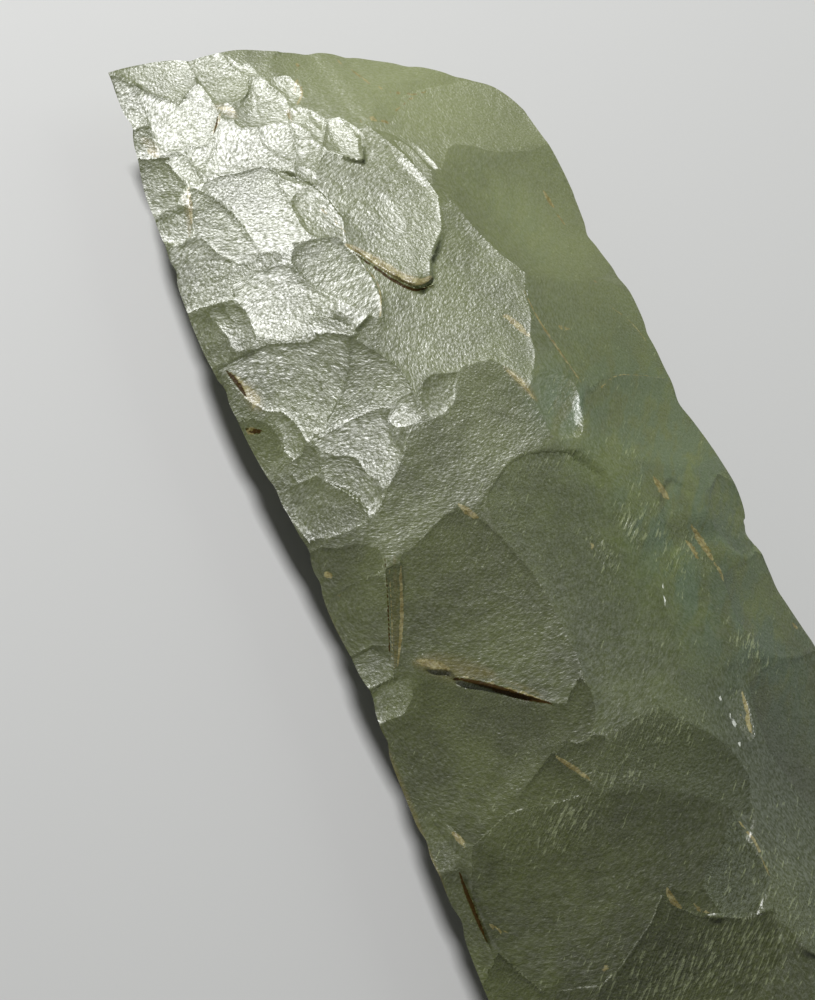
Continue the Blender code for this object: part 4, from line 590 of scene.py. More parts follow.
# Colours
DEEP_GREEN = (0.058, 0.066, 0.026, 1)
# the colour of the painted shade
PAINTED_SHADE_GREEN = (0.046, 0.054, 0.027, 1)
OLIVE = (0.096, 0.112, 0.036, 1)
BLUE_GREEN = (0.076, 0.116, 0.070, 1)
# pale green, for the sand grains and for the painted light towards the bit end
PALE_GREEN = (0.185, 0.206, 0.092, 1)
FLECK = (0.27, 0.30, 0.16, 1)
GOLD = (0.140, 0.116, 0.028, 1)
TAN = (0.165, 0.135, 0.036, 1)
CREAM = (0.28, 0.25, 0.105, 1)
BROWN = (0.040, 0.022, 0.004, 1)
WHITE = (0.62, 0.64, 0.58, 1)

# The stone. Pitches are in turns a millimetre and shares run from 0 to 1
BROAD_PITCH, MOTTLE_PITCH, SAND_PITCH, TAN_PITCH, RAGGED_PITCH = 0.07, 0.55, 2.6, 1.2, 1.6
STREAK_TURN = 43.0        # the way the streaks and flecks run, in degrees
FLECK_PITCH = (0.5, 2.7, 0.8)
VEIL_PITCH = (0.09, 0.36, 0.2)
MOTTLE, SAND, LIGHT_AND_SHADE_SHARE, MARK_SHARE = 0.35, 0.3, 0.8, 0.6      # how far each colour goes
FLECK_PULL = 0.15         # how many more flecks a fleck zone has
RAGGED = 1.6              # how ragged the marks' edges are
RICH = (1.30, 1.42, 1.25)  # how much stronger the colours are where the stone is matt
MATT = 0.55               # how much less the matt stone shines
BROWN_SHINE = 0.1         # how much of its shine a brown mark keeps
FLECK_RELIEF = 0.00016    # how far the flecks stand out, in metres
SWELL, CRINKLE, GRAIN = 0.00014, 0.00008, 0.00003      # heights of the relief, in metres
SWELL_PITCH, SHEEN_PITCH = 0.45, 0.9
CRINKLE_PITCH = (2.4, 1.6, 4.3)
CRINKLE_FINE = (2.5, 0.6)
GRAIN_PITCH = 3.0
GRAIN_FINE = (1.0, 0.5)
SPARK_PITCH = (3.2, 2.2, 5.3)         # grains a millimetre, each with its own sheen
SPARK = (0.22, 0.95)      # the range of that sheen
GLOSS = 1.8               # the index of refraction
SATIN, DULL = 0.42, 0.48  # the range of roughness

# The camera looks down on the lying celt from its left and its poll end, and is rolled so that
# the bit shows at the upper left. Lengths in metres, angles in degrees
LENS = 0.100
SENSOR = 0.036
VIEW_FROM = -52.1
VIEW_HEIGHT = 62.0
VIEW_ROLL = 30.0
VIEW_DISTANCE = 0.387
VIEW_AIM = Vector((-0.0138, 0.0232, 0.0108))

# Soft boxes: where each shines from, and its distance, size and power
KEY_AIM = (-0.010, 0.050, 0.015)
KEY_FROM = (-0.10, 0.74, 0.66)
KEY_DISTANCE = 0.80
KEY_SIZE = (0.12, 0.10)
KEY_POWER = 9.0
FILL_FROM = (0.80, 0.10, 0.60)
FILL_DISTANCE = 0.90
FILL_SIZE = (0.60, 0.60)
FILL_POWER = 1.0
WORLD_STRENGTH = 0.12
FILL_COLOUR = (0.90, 1.0, 0.93)
WORLD_COLOUR = (0.97, 0.99, 0.96, 1)
FLOOR_SIZE = 6.0
FLOOR_COLOUR = (0.55, 0.55, 0.545, 1)
FLOOR_ROUGHNESS = 0.9


def flow(at, knots):
    """A smooth curve through the knots, read at the places in at."""
    place, value = np.array(knots, float).T
    slope = np.gradient(value, place)
    at = np.clip(at, place[0], place[-1])
    i = np.clip(np.searchsorted(place, at) - 1, 0, len(place) - 2)
    span = place[i + 1] - place[i]
    t = (at - place[i]) / span
    rise = value[i + 1] - value[i]
    back = slope[i] * span - rise
    ahead = rise - slope[i + 1] * span
    return value[i] + t * rise + t * (1 - t) * (back * (1 - t) + ahead * t)


def wobble(x, y, size, seed):
    """Smooth noise from -1 to 1 with bumps about size apart."""
    cells = 128
    lattice = np.random.default_rng(seed).uniform(-1, 1, (cells, cells))
    gx, gy = x / size + cells, y / size + cells
    ix, iy = np.floor(gx).astype(int), np.floor(gy).astype(int)
    fx, fy = gx - ix, gy - iy
    fx, fy = fx * fx * (3 - 2 * fx), fy * fy * (3 - 2 * fy)
    ix, iy, jx, jy = ix % cells, iy % cells, (ix + 1) % cells, (iy + 1) % cells
    low = lattice[ix, iy] * (1 - fx) + lattice[jx, iy] * fx
    high = lattice[ix, jy] * (1 - fx) + lattice[jx, jy] * fx
    return low * (1 - fy) + high * fy


def ease(t):
    """0 below 0, 1 above 1 and smooth between."""
    t = np.clip(t, 0, 1)
    return t * t * (3 - 2 * t)


def bite(x, y):
    """How far the outline is bitten in at a plan point near it."""
    total = np.zeros(np.broadcast(x, y).shape)
    for bx, by, width, depth in BITES:
        total += depth * np.exp(-((x - bx) ** 2 + (y - by) ** 2) / (width / 2) ** 2)
    return total


def side(y, knots):
    """A side edge's plan x at y, with its bites."""
    x = flow(y, knots)
    return x - np.sign(x) * bite(x, y)


def end(x, knots):
    """An end edge's plan y at x, with its bites."""
    y = flow(x, knots)
    return y - np.sign(y) * bite(x, y)


def traced(curve, reach):
    """A curve drawn once at close steps from -reach to reach, to be read quickly."""
    places = np.linspace(-reach, reach, TRACE_STEPS)
    values = curve(places)
    return lambda at: np.interp(at, places, values)


left_side = traced(lambda y: side(y, LEFT_SIDE), PLAN_LENGTH)
right_side = traced(lambda y: side(y, RIGHT_SIDE), PLAN_LENGTH)
poll_edge = traced(lambda x: end(x, POLL_EDGE), PLAN_WIDTH)
bit_edge = traced(lambda x: end(x, BIT_EDGE), PLAN_WIDTH)


def plan_point(s, t):
    """The plan point at share s from the left side to the right and t from poll to bit."""
    y = PLAN_LENGTH * (t - 0.5)
    for _ in range(PLAN_PASSES):
        left, right = left_side(y), right_side(y)
        x = left + (right - left) * s
        poll, bit = poll_edge(x), bit_edge(x)
        y = poll + (bit - poll) * t
    return x, y


def margins(x, y):
    """Distances from the left side, the right side, the poll and the bit."""
    return x - left_side(y), right_side(y) - x, y - poll_edge(x), bit_edge(x) - y


def swell(x, y):
    """The unworked blank's fullness: 1 along its crest, 0 at the edge, below 0 outside."""
    left, right, poll, bit = margins(x, y)
    across = 4 * left * right / (left + right) ** 2
    to_bit = 1 - (1 - np.clip(bit / BIT_BEVEL, -0.2, 1)) ** 2
    to_poll = 1 - (1 - np.clip(poll / POLL_BEVEL, -0.2, 1)) ** 2
    outside = np.minimum(np.minimum(across, to_bit), to_poll)
    return np.where(outside < 0, outside, across * to_bit * to_poll)


def bow(y, share):
    """1 at mid length, and less by that share at either end."""
    return 1 - share * (2 * y / PLAN_LENGTH) ** 2


def upper_blank(x, y):
    """The unworked upper face's height."""
    return PLAN_EDGE + (PLAN_THICKNESS - PLAN_EDGE) * swell(x, y) * bow(y, UPPER_BOW)


def under_blank(x, y):
    """The unworked under face's height."""
    return PLAN_EDGE - (PLAN_EDGE + BELLY) * swell(x, y) * bow(y, UNDER_BOW)


def film(a, b):
    """Smooth shapes that a film over a round rim can take."""
    w = a + 1j * b
    waves = [np.ones_like(a)]
    for power in range(1, FILM_WAVES + 1):
        waves += [(w ** power).real, (w ** power).imag]
    return np.stack(waves, -1)


class Cut:
    """A scar at work: the shape of its rim and the film that is stretched over it."""

    def __init__(self, scar, seed):
        self.scar = scar
        self.cos = math.cos(math.radians(scar.turn))
        self.sin = math.sin(math.radians(scar.turn))
        self.lobes = np.random.default_rng(seed).uniform(-1, 1, (5, 2)) * RIM_LOBES
        self.reach = 0.7 * max(scar.long, scar.wide) * (1 + abs(scar.flare))
        self.lean = 0.0

    def rim(self, angle):
        """The rim's radius at an angle round it, as a share of the plain ellipse's."""
        radius = 1.0 + 0.0 * angle
        for wave, (even, odd) in enumerate(self.lobes, 2):
            radius = radius + even * np.cos(wave * angle) + odd * np.sin(wave * angle)
        square = np.power(np.cos(angle) ** 4 + np.sin(angle) ** 4, RIM_SQUARE)
        return radius * SQUARE_RIM / square

    def place(self, x, y):
        """A plan point in the scar's own frame, where it runs from -1 to 1 each way."""
        dx, dy = x - self.scar.x, y - self.scar.y
        a = (dx * self.cos + dy * self.sin) / (self.scar.long / 2)
        b = (dy * self.cos - dx * self.sin) / (self.scar.wide / 2)
        return a, b / np.maximum(1 + self.scar.flare * a, 0.2)

    def inset(self, x, y, wx, wy):
        """How far inside the rim a plan point lies, in widths of the break; wx, wy warped."""
        a, b = self.place(wx, wy)
        return (1 - (a * a + b * b) / self.rim(np.arctan2(b, a)) ** 2) / self.scar.soft

    def ring(self):
        """Points round the rim, in the scar's frame and on the plan."""
        angle = np.linspace(0, 2 * math.pi, RIM_POINTS, endpoint=False)
        radius = self.rim(angle)
        a, b = radius * np.cos(angle), radius * np.sin(angle)
        along = a * self.scar.long / 2
        across = b * (1 + self.scar.flare * a) * self.scar.wide / 2
        x = self.scar.x + along * self.cos - across * self.sin
        y = self.scar.y + along * self.sin + across * self.cos
        return a, b, x, y

    def drop(self, a, b):
        """How far the scar lies under its film."""
        scar = self.scar
        far = np.minimum(a * a + b * b, 1)
        drop = scar.deep * (1 - far) * (1 - HEEL * a) + scar.lean * (1 + a) / 2
        if scar.ripple:
            run = np.hypot((a + 1) * scar.long / 2, b * scar.wide / 2)
            drop = drop + scar.ripple * np.sin(2 * math.pi * run / scar.pitch) * (1 - far)
        return drop


class FacetCut(Cut):
    """A facet at work: a cut whose rim is drawn point by point."""

    def __init__(self, facet):
        self.lean = facet.lean
        corners = np.array(facet.rim, float)
        self.start = corners
        self.side = np.roll(corners, -1, axis=0) - corners
        turn = math.radians(facet.turn)
        self.cos, self.sin = math.cos(turn), math.sin(turn)
        middle = corners.mean(0)
        along = (corners - middle) @ (self.cos, self.sin)
        across = (corners - middle) @ (-self.sin, self.cos)
        aside = (along.max() + along.min()) / 2, (across.max() + across.min()) / 2
        x = middle[0] + aside[0] * self.cos - aside[1] * self.sin
        y = middle[1] + aside[0] * self.sin + aside[1] * self.cos
        self.scar = Scar(x, y, facet.turn, np.ptp(along), np.ptp(across), facet.deep, 1.0,
                         facet.lean * FACET_STEP)
        self.wall = facet.wall * FACET_BREAK
        self.hollow = facet.hollow
        self.reach = np.hypot(*(corners - (x, y)).T).max() + 1

    def ring(self):
        share = np.linspace(0, 1, CORNER_POINTS, endpoint=False)[:, None, None]
        x, y = (self.start + share * self.side).reshape(-1, 2).T
        return *self.place(x, y), x, y

    def inset(self, x, y, wx, wy):
        x, y = x + FACET_WARP * (wx - x), y + FACET_WARP * (wy - y)
        gap = np.full(x.shape, 1e9)
        inside = np.zeros(x.shape, bool)
        for (x0, y0), (sx, sy) in zip(self.start, self.side):
            dx, dy = x - x0, y - y0
            t = np.clip((dx * sx + dy * sy) / (sx * sx + sy * sy), 0, 1)
            gap = np.minimum(gap, np.hypot(dx - t * sx, dy - t * sy))
            crosses = (dy < 0) != (dy < sy)
            if sy:
                inside ^= crosses & (dx < dy * sx / sy)
        return np.where(inside, gap, 0) / self.wall


class Face:
    """One face of the blade: the blank's height, and the scars cut into it one by one."""

    def __init__(self, blank, up, seed):
        self.blank = blank
        self.up = up
        self.seed = seed
        self.cuts = []
        self.ledges = []

    def warp(self, x, y):
        """Shifts the plan a little, so that no ridge between scars runs true."""
        wx, wy = x + 0.0, y + 0.0
        for size, reach in WARPS:
            wx += reach * wobble(x, y, size, self.seed + 1)
            wy += reach * wobble(x, y, size, self.seed + 2)
        return wx, wy

    def cut(self, scar):
        """Adds a scar. Its film is part flat and part true to the blank's own curve."""
        work = FacetCut(scar) if isinstance(scar, Facet) else Cut(scar, self.seed + len(self.cuts))
        a, b, x, y = work.ring()
        rim, blank = self.raw(x, y), self.blank(x, y)
        shapes = film(a, b)
        flat = np.linalg.lstsq(shapes, rim, rcond=None)[0]
        above = np.linalg.lstsq(shapes, rim - blank, rcond=None)[0]
        share = work.scar.flat
        work.weights = share * flat + (1 - share) * above
        self.cuts.append(work)

    def raw(self, x, y, owners=None):
        """The face's height before ledges. owners is told each point's last two scars."""
        blank = self.blank(x, y)
        wx, wy = self.warp(x, y)
        z = blank.copy()
        for index, work in enumerate(self.cuts):
            scar = work.scar
            near = np.hypot(x - scar.x, y - scar.y) < work.reach
            if not near.any():
                continue
            a, b = work.place(x[near], y[near])
            inset = np.clip(work.inset(x[near], y[near], wx[near], wy[near]), 0, 1)
            old = z[near]
            floor = film(a, b) @ work.weights + (1 - scar.flat) * blank[near]
            floor = floor - self.up * work.drop(a, b)
            cut = np.maximum(self.up * (old - floor), 0) * (1 - (1 - inset) ** 2)
            z[near] = old - self.up * cut
            if owners is not None:
                drawn = isinstance(work, FacetCut) & (inset > 0)
                taken = (cut > 0) | drawn
                last, before = owners
                before[near] = np.where(taken, last[near], before[near])
                last[near] = np.where(taken, index, last[near])
        return z

    def owners(self, x, y):
        """Each plan point's last scar and the one before it, or -1 on the blank."""
        last, before = np.full(x.shape, -1), np.full(x.shape, -1)
        self.raw(x, y, (last, before))
        return last, before

    def height(self, x, y):
        z = self.raw(x, y)
        for ledge in self.ledges:
            z = z - self.up * ledge_drop(ledge, x, y)
        return z


def runs(line):
    """How far along a line each of its points lies."""
    return np.concatenate([[0], np.cumsum(np.hypot(*np.diff(line, axis=0).T))])


def smooth_line(line):
    """A bent line's points, with more between them on a smooth curve."""
    line = np.array(line, float)
    run = runs(line)
    at = np.linspace(0, run[-1], LEDGE_POINTS * len(line))
    return np.stack([flow(at, np.stack([run, axis], -1)) for axis in line.T], -1)


def nearest(line, x, y):
    """For each piece of a line, the place on it nearest to each plan point.

    Gives the piece's number, the share of it that the place has passed, how far along the
    whole line the place lies, and the way from there to the plan point.
    """
    lengths = np.hypot(*np.diff(line, axis=0).T)
    for k, (start, length, passed) in enumerate(zip(line, lengths, runs(line))):
        ux, uy = (line[k + 1] - start) / length
        t = np.clip((x - start[0]) * ux + (y - start[1]) * uy, 0, length)
        yield k, t / length, passed + t, x - start[0] - t * ux, y - start[1] - t * uy


def ledge_drop(ledge, x, y):
    """How far the low side of a ledge lies under the face it broke from."""
    line = smooth_line(ledge.line)
    whole = runs(line)[-1]
    ways = np.gradient(line, axis=0)
    gap = np.full(x.shape, 1e9)
    low, share, total = 0.0, 0.0, 0.0
    for k, part, passed, dx, dy in nearest(line, x, y):
        off = np.hypot(dx, dy)
        gap = np.minimum(gap, off)
        way = ways[k] + part[..., None] * (ways[k + 1] - ways[k])
        weight = 1 / (off ** 2 + LEDGE_BLEND ** 2) ** 2
        low = low + weight * (way[..., 0] * dy - way[..., 1] * dx)
        share = share + weight * passed / whole
        total = total + weight
    share = share / total
    fade = ease(share / LEDGE_FADE) * ease((1 - share) / LEDGE_FADE)
    signed = np.where(low < 0, gap, -gap)
    wall = ease(signed / ledge.wide + 0.5)
    rise = 1 - ease(signed / ledge.reach)
    foot = np.exp(-((signed - CRACK_WIDTH / 2) / (CRACK_WIDTH / 2)) ** 2)
    return fade * (ledge.high * wall * rise + ledge.crack * foot)


def under_scars():
    """Two rows of flakes from the sides and a few from the ends, plainer than above."""
    rng = np.random.default_rng(FLAKE_SEED)
    scars = []
    for turn, edge, start in ((0, -31, -84), (180, 31, -78)):
        y = start
        while y < 92:
            wide = rng.uniform(17, 25)
            long = rng.uniform(20, 25)
            lean = math.copysign(long / 2 - 3.0, -edge)
            scars.append(Scar(edge + lean, y, turn + rng.uniform(-14, 14), long, wide,
                              rng.uniform(0.5, 0.9)))
            y += wide * 0.62
    rng.shuffle(scars)
    scars = [Scar(*s) for s in scars]
    scars += [Scar(-12, 88, 268, 24, 20, 0.5), Scar(8, 82, 262, 22, 20, 0.5),
              Scar(24, 70, 240, 16, 16, 0.5), Scar(0, -90, 90, 20, 24, 0.6)]
    for edge, turn in ((-30, 0), (30, 180)):
        y = -80.0
        while y < 84:
            wide = rng.uniform(5, 9)
            scars.append(Scar(edge, y, turn, rng.uniform(6, 9), wide, rng.uniform(0.3, 0.5)))
            y += wide * rng.uniform(1.0, 1.5)
    return scars


def worked_face(blank, up, seed, scars, ledges):
    """A face with all its scars and ledges."""
    face = Face(blank, up, seed)
    for scar in scars:
        face.cut(scar)
    face.ledges = ledges
    return face


def edge_line(upper, x, y):
    """The sharp edge's height beside a plan point: where the upper face meets the outline."""
    rims = [(traced(lambda at: upper.height(left_side(at), at), PLAN_LENGTH), y),
            (traced(lambda at: upper.height(right_side(at), at), PLAN_LENGTH), y),
            (traced(lambda at: upper.height(at, poll_edge(at)), PLAN_WIDTH), x),
            (traced(lambda at: upper.height(at, bit_edge(at)), PLAN_WIDTH), x)]
    total, weight = 0.0, 0.0
    for gap, (rim, at) in zip(margins(x, y), rims):
        w = 1 / (np.maximum(gap, 0) ** 2 + 1e-9)
        total = total + w * np.clip(rim(at), PLAN_EDGE - EDGE_DIP, PLAN_EDGE + EDGE_RISE)
        weight = weight + w
    return total / weight


def surfaces(upper, under, x, y, at_edge):
    """The two faces' plan heights, meeting in the edge line."""
    inside = np.maximum(np.minimum.reduce(margins(x, y)), 0)
    edge = edge_line(upper, x, y)
    top = upper.height(x, y)
    near_edge = np.exp(-(inside / EDGE_SPREAD) ** 2)
    low = under.blank(x, y) + (under.height(x, y) - under.blank(x, y)) * ease(inside / EDGE_CALM)
    low = low + (edge - PLAN_EDGE) * near_edge
    top = np.maximum(top, edge + EDGE_SLOPE * inside)
    low = np.minimum(low, edge - EDGE_SLOPE * inside)
    return np.where(at_edge, edge, top), np.where(at_edge, edge, low)


def lay_sheet(verts, upper, under, which):
    """Lays a flat grid's vertices on the upper (0) or the under (1) surface, in metres."""
    s = np.array([v.co.x for v in verts]) + 0.5
    t = np.array([v.co.y for v in verts]) + 0.5
    x, y = plan_point(s, t)
    at_edge = np.minimum.reduce([s, 1 - s, t, 1 - t]) < 1e-6
    z = surfaces(upper, under, x, y, at_edge)[which]
    x, y = (x - PLAN_MIDDLE) * WIDTH / PLAN_WIDTH, y * LENGTH / PLAN_LENGTH
    z = z * THICKNESS / PLAN_THICKNESS
    for vert, place in zip(verts, np.stack([x, y, z], -1)):
        vert.co = place


def blade_mesh(rows, columns, upper, under):
    """The closed blade: an upper and an under sheet, welded along the sharp edge."""
    bm = bmesh.new()
    for which in (0, 1):
        grid = bmesh.ops.create_grid(bm, x_segments=columns, y_segments=rows, size=0.5)
        lay_sheet(grid["verts"], upper, under, which)
        if which == 1:
            faces = {face for vert in grid["verts"] for face in vert.link_faces}
            bmesh.ops.reverse_faces(bm, faces=list(faces))
    rim = [vert for vert in bm.verts if vert.is_boundary]
    bmesh.ops.remove_doubles(bm, verts=rim, dist=1e-7)
    mesh = bpy.data.meshes.new("celt_surface")
    bm.to_mesh(mesh)
    bm.free()
    return mesh


def simplified(item, triangles):
    """The object's mesh, reduced to about that many triangles where it is flattest."""
    thin = item.modifiers.new("Fewer faces", "DECIMATE")
    thin.use_collapse_triangulate = True
    thin.ratio = triangles / (2 * len(item.data.polygons))
    graph = bpy.context.evaluated_depsgraph_get()
    mesh = bpy.data.meshes.new_from_object(item.evaluated_get(graph))
    item.modifiers.clear()
    return mesh


def cut_resting_flat(mesh):
    """Takes the belly off level at Z = 0, where the celt rests."""
    bm = bmesh.new()
    bm.from_mesh(mesh)
    everything = bm.verts[:] + bm.edges[:] + bm.faces[:]
    cut = bmesh.ops.bisect_plane(bm, geom=everything, dist=1e-7, plane_co=(0, 0, 0),
                                 plane_no=(0, 0, 1), clear_inner=True)
    rim = [e for e in cut["geom_cut"] if isinstance(e, bmesh.types.BMEdge)]
    bmesh.ops.holes_fill(bm, edges=rim, sides=0)
    bmesh.ops.triangulate(bm, faces=bm.faces[:])
    bm.to_mesh(mesh)
    bm.free()


def keep_inside(mesh, low, high):
    """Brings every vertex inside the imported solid's box."""
    places = np.empty(len(mesh.vertices) * 3)
    mesh.vertices.foreach_get("co", places)
    places = np.clip(places.reshape(-1, 3), low, high)
    mesh.vertices.foreach_set("co", places.ravel())
    return places


def store(mesh, name, domain, columns):
    """Keeps three numbers a vertex or a corner on the mesh for its material to read."""
    layer = mesh.attributes.new(name, "FLOAT_VECTOR", domain)
    layer.data.foreach_set("vector", np.stack(columns, -1).astype(np.float32).ravel())


def stroke_field(strokes, x, y):
    """1 on a stroke's line, 0 at its edge and below 0 outside, down to -1."""
    field = np.full(x.shape, -1.0)
    for stroke in strokes:
        line = smooth_line(stroke.line)
        whole = runs(line)[-1]
        for _, _, passed, dx, dy in nearest(line, x, y):
            share = passed / whole
            half = stroke.width / 2 * (STROKE_END + STROKE_SWELL * share * (1 - share))
            off = np.hypot(dx, dy)
            field = np.maximum(field, np.clip(stroke.strength - off / half, -1, 1))
    return field


def zone_field(zones, x, y):
    """How strongly each plan point lies in any of the zones."""
    total = np.zeros(x.shape)
    for zone in zones:
        away = ((x - zone.x) / zone.wide) ** 2 + ((y - zone.y) / zone.long) ** 2
        total = np.maximum(total, zone.strength * np.exp(-away))
    return total


def hollow_tilt(work, x, y, inset):
    """The lean of a slight bowl all over a facet, and of a sharper lip along a crisp rim."""
    a, b = work.place(x, y)
    along, across = a / work.scar.long, b / work.scar.wide
    out = np.stack([along * work.cos - across * work.sin,
                    along * work.sin + across * work.cos], -1)
    out = out / np.maximum(np.hypot(*out.T), 1e-9)[:, None]
    lip = RIM_LIP * np.exp(-(inset * work.wall / LIP_WIDTH) ** 2) * (work.wall <= SOFT_WALL)
    return -(work.hollow * (a * a + b * b) + lip)[:, None] * out


def flake_tilt(face, x, y, slope, last, before):
    """Each corner's lean, part of the way back to its facet's usual slope, and its hollow.

    A facet with a soft rim takes its lean up gradually from the scar before it.
    """
    count = len(face.cuts) + 1
    lean, usual, calm = np.zeros((count, 2)), np.zeros((count, 2)), np.zeros(count)
    leans = np.zeros(count, bool)
    share, bowl = np.ones(len(x)), np.zeros((len(x), 2))
    wx, wy = face.warp(x, y)
    for index, work in enumerate(face.cuts):
        here = last == index
        if not here.any():
            continue
        usual[index] = np.median(slope[here], axis=0)
        if not work.lean:
            continue
        lean[index] = FACET_LEAN * work.lean * np.array([work.cos, work.sin])
        leans[index], calm[index] = True, 1
        inset = work.inset(x[here], y[here], wx[here], wy[here])
        bowl[here] = hollow_tilt(work, x[here], y[here], inset)
        if work.wall > SOFT_WALL:
            share[here] = ease(inset)
    before = np.where(leans[before], before, last)
    share = share[:, None]

    def blend(values):
        return share * values[last] + (1 - share) * values[before]

    off = blend(usual) - slope
    back = calm[last] * np.interp(np.hypot(*off.T), *zip(*CALM))
    return (blend(lean) + share * bowl + back[:, None] * off).T


def flake_ways(face, x, y, slope, middle_x, middle_y):
    """For each corner of each triangle, its place along and round its flake, and its lean.

    The triangle's middle decides which scar it belongs to, so no triangle mixes two.
    """
    last, before = [np.repeat(owner, 3) for owner in face.owners(middle_x, middle_y)]
    along, across, kind = x + 0.0, y + 0.0, np.zeros(x.shape)
    for index, work in enumerate(face.cuts):
        here = last == index
        if not here.any():
            continue
        scar = work.scar
        back = FLAKE_START * scar.long
        dx = x[here] - (scar.x - back * work.cos)
        dy = y[here] - (scar.y - back * work.sin)
        run = dx * work.cos + dy * work.sin
        aside = dy * work.cos - dx * work.sin
        along[here] = np.hypot(run, aside)
        across[here] = np.arctan2(aside, run) * back
        kind[here] = index
    return along, across, kind, *flake_tilt(face, x, y, slope, last, before)


def paint(mesh, upper, under, places):
    """Stores the marks, the zones (some of them painted light and shade), flake directions and leans for
    the material.
    """
    x = places[:, 0] * PLAN_WIDTH / WIDTH + PLAN_MIDDLE
    y = places[:, 1] * PLAN_LENGTH / LENGTH
    shown = places[:, 2] > EDGE_HEIGHT * SHOWN_FROM
    hide = np.where(shown, 0.0, HIDDEN)
    marks = [stroke_field(strokes, x, y) - hide
             for strokes in (TAN_STROKES, BROWN_STROKES, PALE_STROKES)]
    # the last of these zones is painted light, paler towards the bit end
    zones = [zone_field(z, x, y) for z in (FLECK_ZONES, BLUE_ZONES, PAINTED_LIGHT_ZONES)]
    store(mesh, "marks", "POINT", marks)
    store(mesh, "zones", "POINT", zones)
    # the tints hold the gold marks, the painted shade and the matt zones
    tints = [stroke_field(GOLD_STROKES, x, y) - hide, zone_field(PAINTED_SHADE_ZONES, x, y),
             zone_field(MATT_ZONES, x, y)]
    store(mesh, "tints", "POINT", tints)
    corner = np.empty(len(mesh.loops), int)
    mesh.loops.foreach_get("vertex_index", corner)
    middle_x = x[corner].reshape(-1, 3).mean(1)
    middle_y = y[corner].reshape(-1, 3).mean(1)
    slope = np.empty(len(places) * 3)
    mesh.vertices.foreach_get("normal", slope)
    slope = slope.reshape(-1, 3)
    slope = (slope[:, :2] / np.maximum(np.abs(slope[:, 2:]), LEAST_UP))[corner]
    ways = [flake_ways(face, x[corner], y[corner], slope, middle_x, middle_y)
            for face in (upper, under)]
    normals = np.empty(len(mesh.polygons) * 3)
    mesh.polygons.foreach_get("normal", normals)
    faces_up = np.repeat(normals[2::3] > 0, 3)
    ways = [np.where(faces_up, a, b) for a, b in zip(*ways)]
    store(mesh, "flake", "CORNER", ways[:3])
    store(mesh, "tilt", "CORNER", [*ways[3:], np.zeros(len(corner))])


class Nodes:
    """A short way to write a material's node tree."""

    def __init__(self, tree):
        self.tree = tree

    def add(self, kind, **settings):
        """A new node with some of its settings."""
        node = self.tree.nodes.new(kind)
        for name, value in settings.items():
            setattr(node, name, value)
        return node

    def feed(self, node, inputs):
        """Links the sockets to the node's inputs, and sets the plain values on them."""
        for key, value in inputs.items():
            if isinstance(value, bpy.types.NodeSocket):
                self.tree.links.new(value, node.inputs[key])
            else:
                node.inputs[key].default_value = value
        return node

    def math(self, operation, a, b=0.0, clamp=False):
        node = self.add("ShaderNodeMath", operation=operation, use_clamp=clamp)
        return self.feed(node, {0: a, 1: b}).outputs[0]

    def noise(self, vector, scale, detail=2.0, roughness=0.5, distortion=0.0):
        node = self.add("ShaderNodeTexNoise")
        values = {"Vector": vector, "Scale": scale, "Detail": detail, "Roughness": roughness,
                  "Distortion": distortion}
        return self.feed(node, values).outputs["Fac"]

    def ramp(self, value, low, high, to_low=0.0, to_high=1.0):
        node = self.add("ShaderNodeMapRange", interpolation_type="SMOOTHSTEP")
        values = {"Value": value, "From Min": low, "From Max": high, "To Min": to_low,
                  "To Max": to_high}
        return self.feed(node, values).outputs[0]

    def mix(self, share, a, b):
        node = self.add("ShaderNodeMix", data_type="RGBA")
        colours = {6: a, 7: b}
        return self.feed(node, {0: share, **colours}).outputs[2]

    def scaled(self, vector, scale):
        node = self.add("ShaderNodeVectorMath", operation="MULTIPLY")
        return self.feed(node, {0: vector, 1: scale}).outputs[0]

    def stored(self, name):
        """A vector kept on the mesh, whole and as its three parts."""
        node = self.add("ShaderNodeAttribute", attribute_name=name)
        parts = self.add("ShaderNodeSeparateXYZ")
        self.feed(parts, {0: node.outputs["Vector"]})
        return node.outputs["Vector"], parts.outputs


def drawn_out(n, mm, pitch, detail):
    """Noise drawn out along the way that the streaks run."""
    turned = n.add("ShaderNodeVectorRotate", rotation_type="Z_AXIS")
    turned = n.feed(turned, {"Vector": mm, "Angle": math.radians(-STREAK_TURN)}).outputs[0]
    return n.noise(n.scaled(turned, pitch), 1.0, detail, 0.6, 0.1)


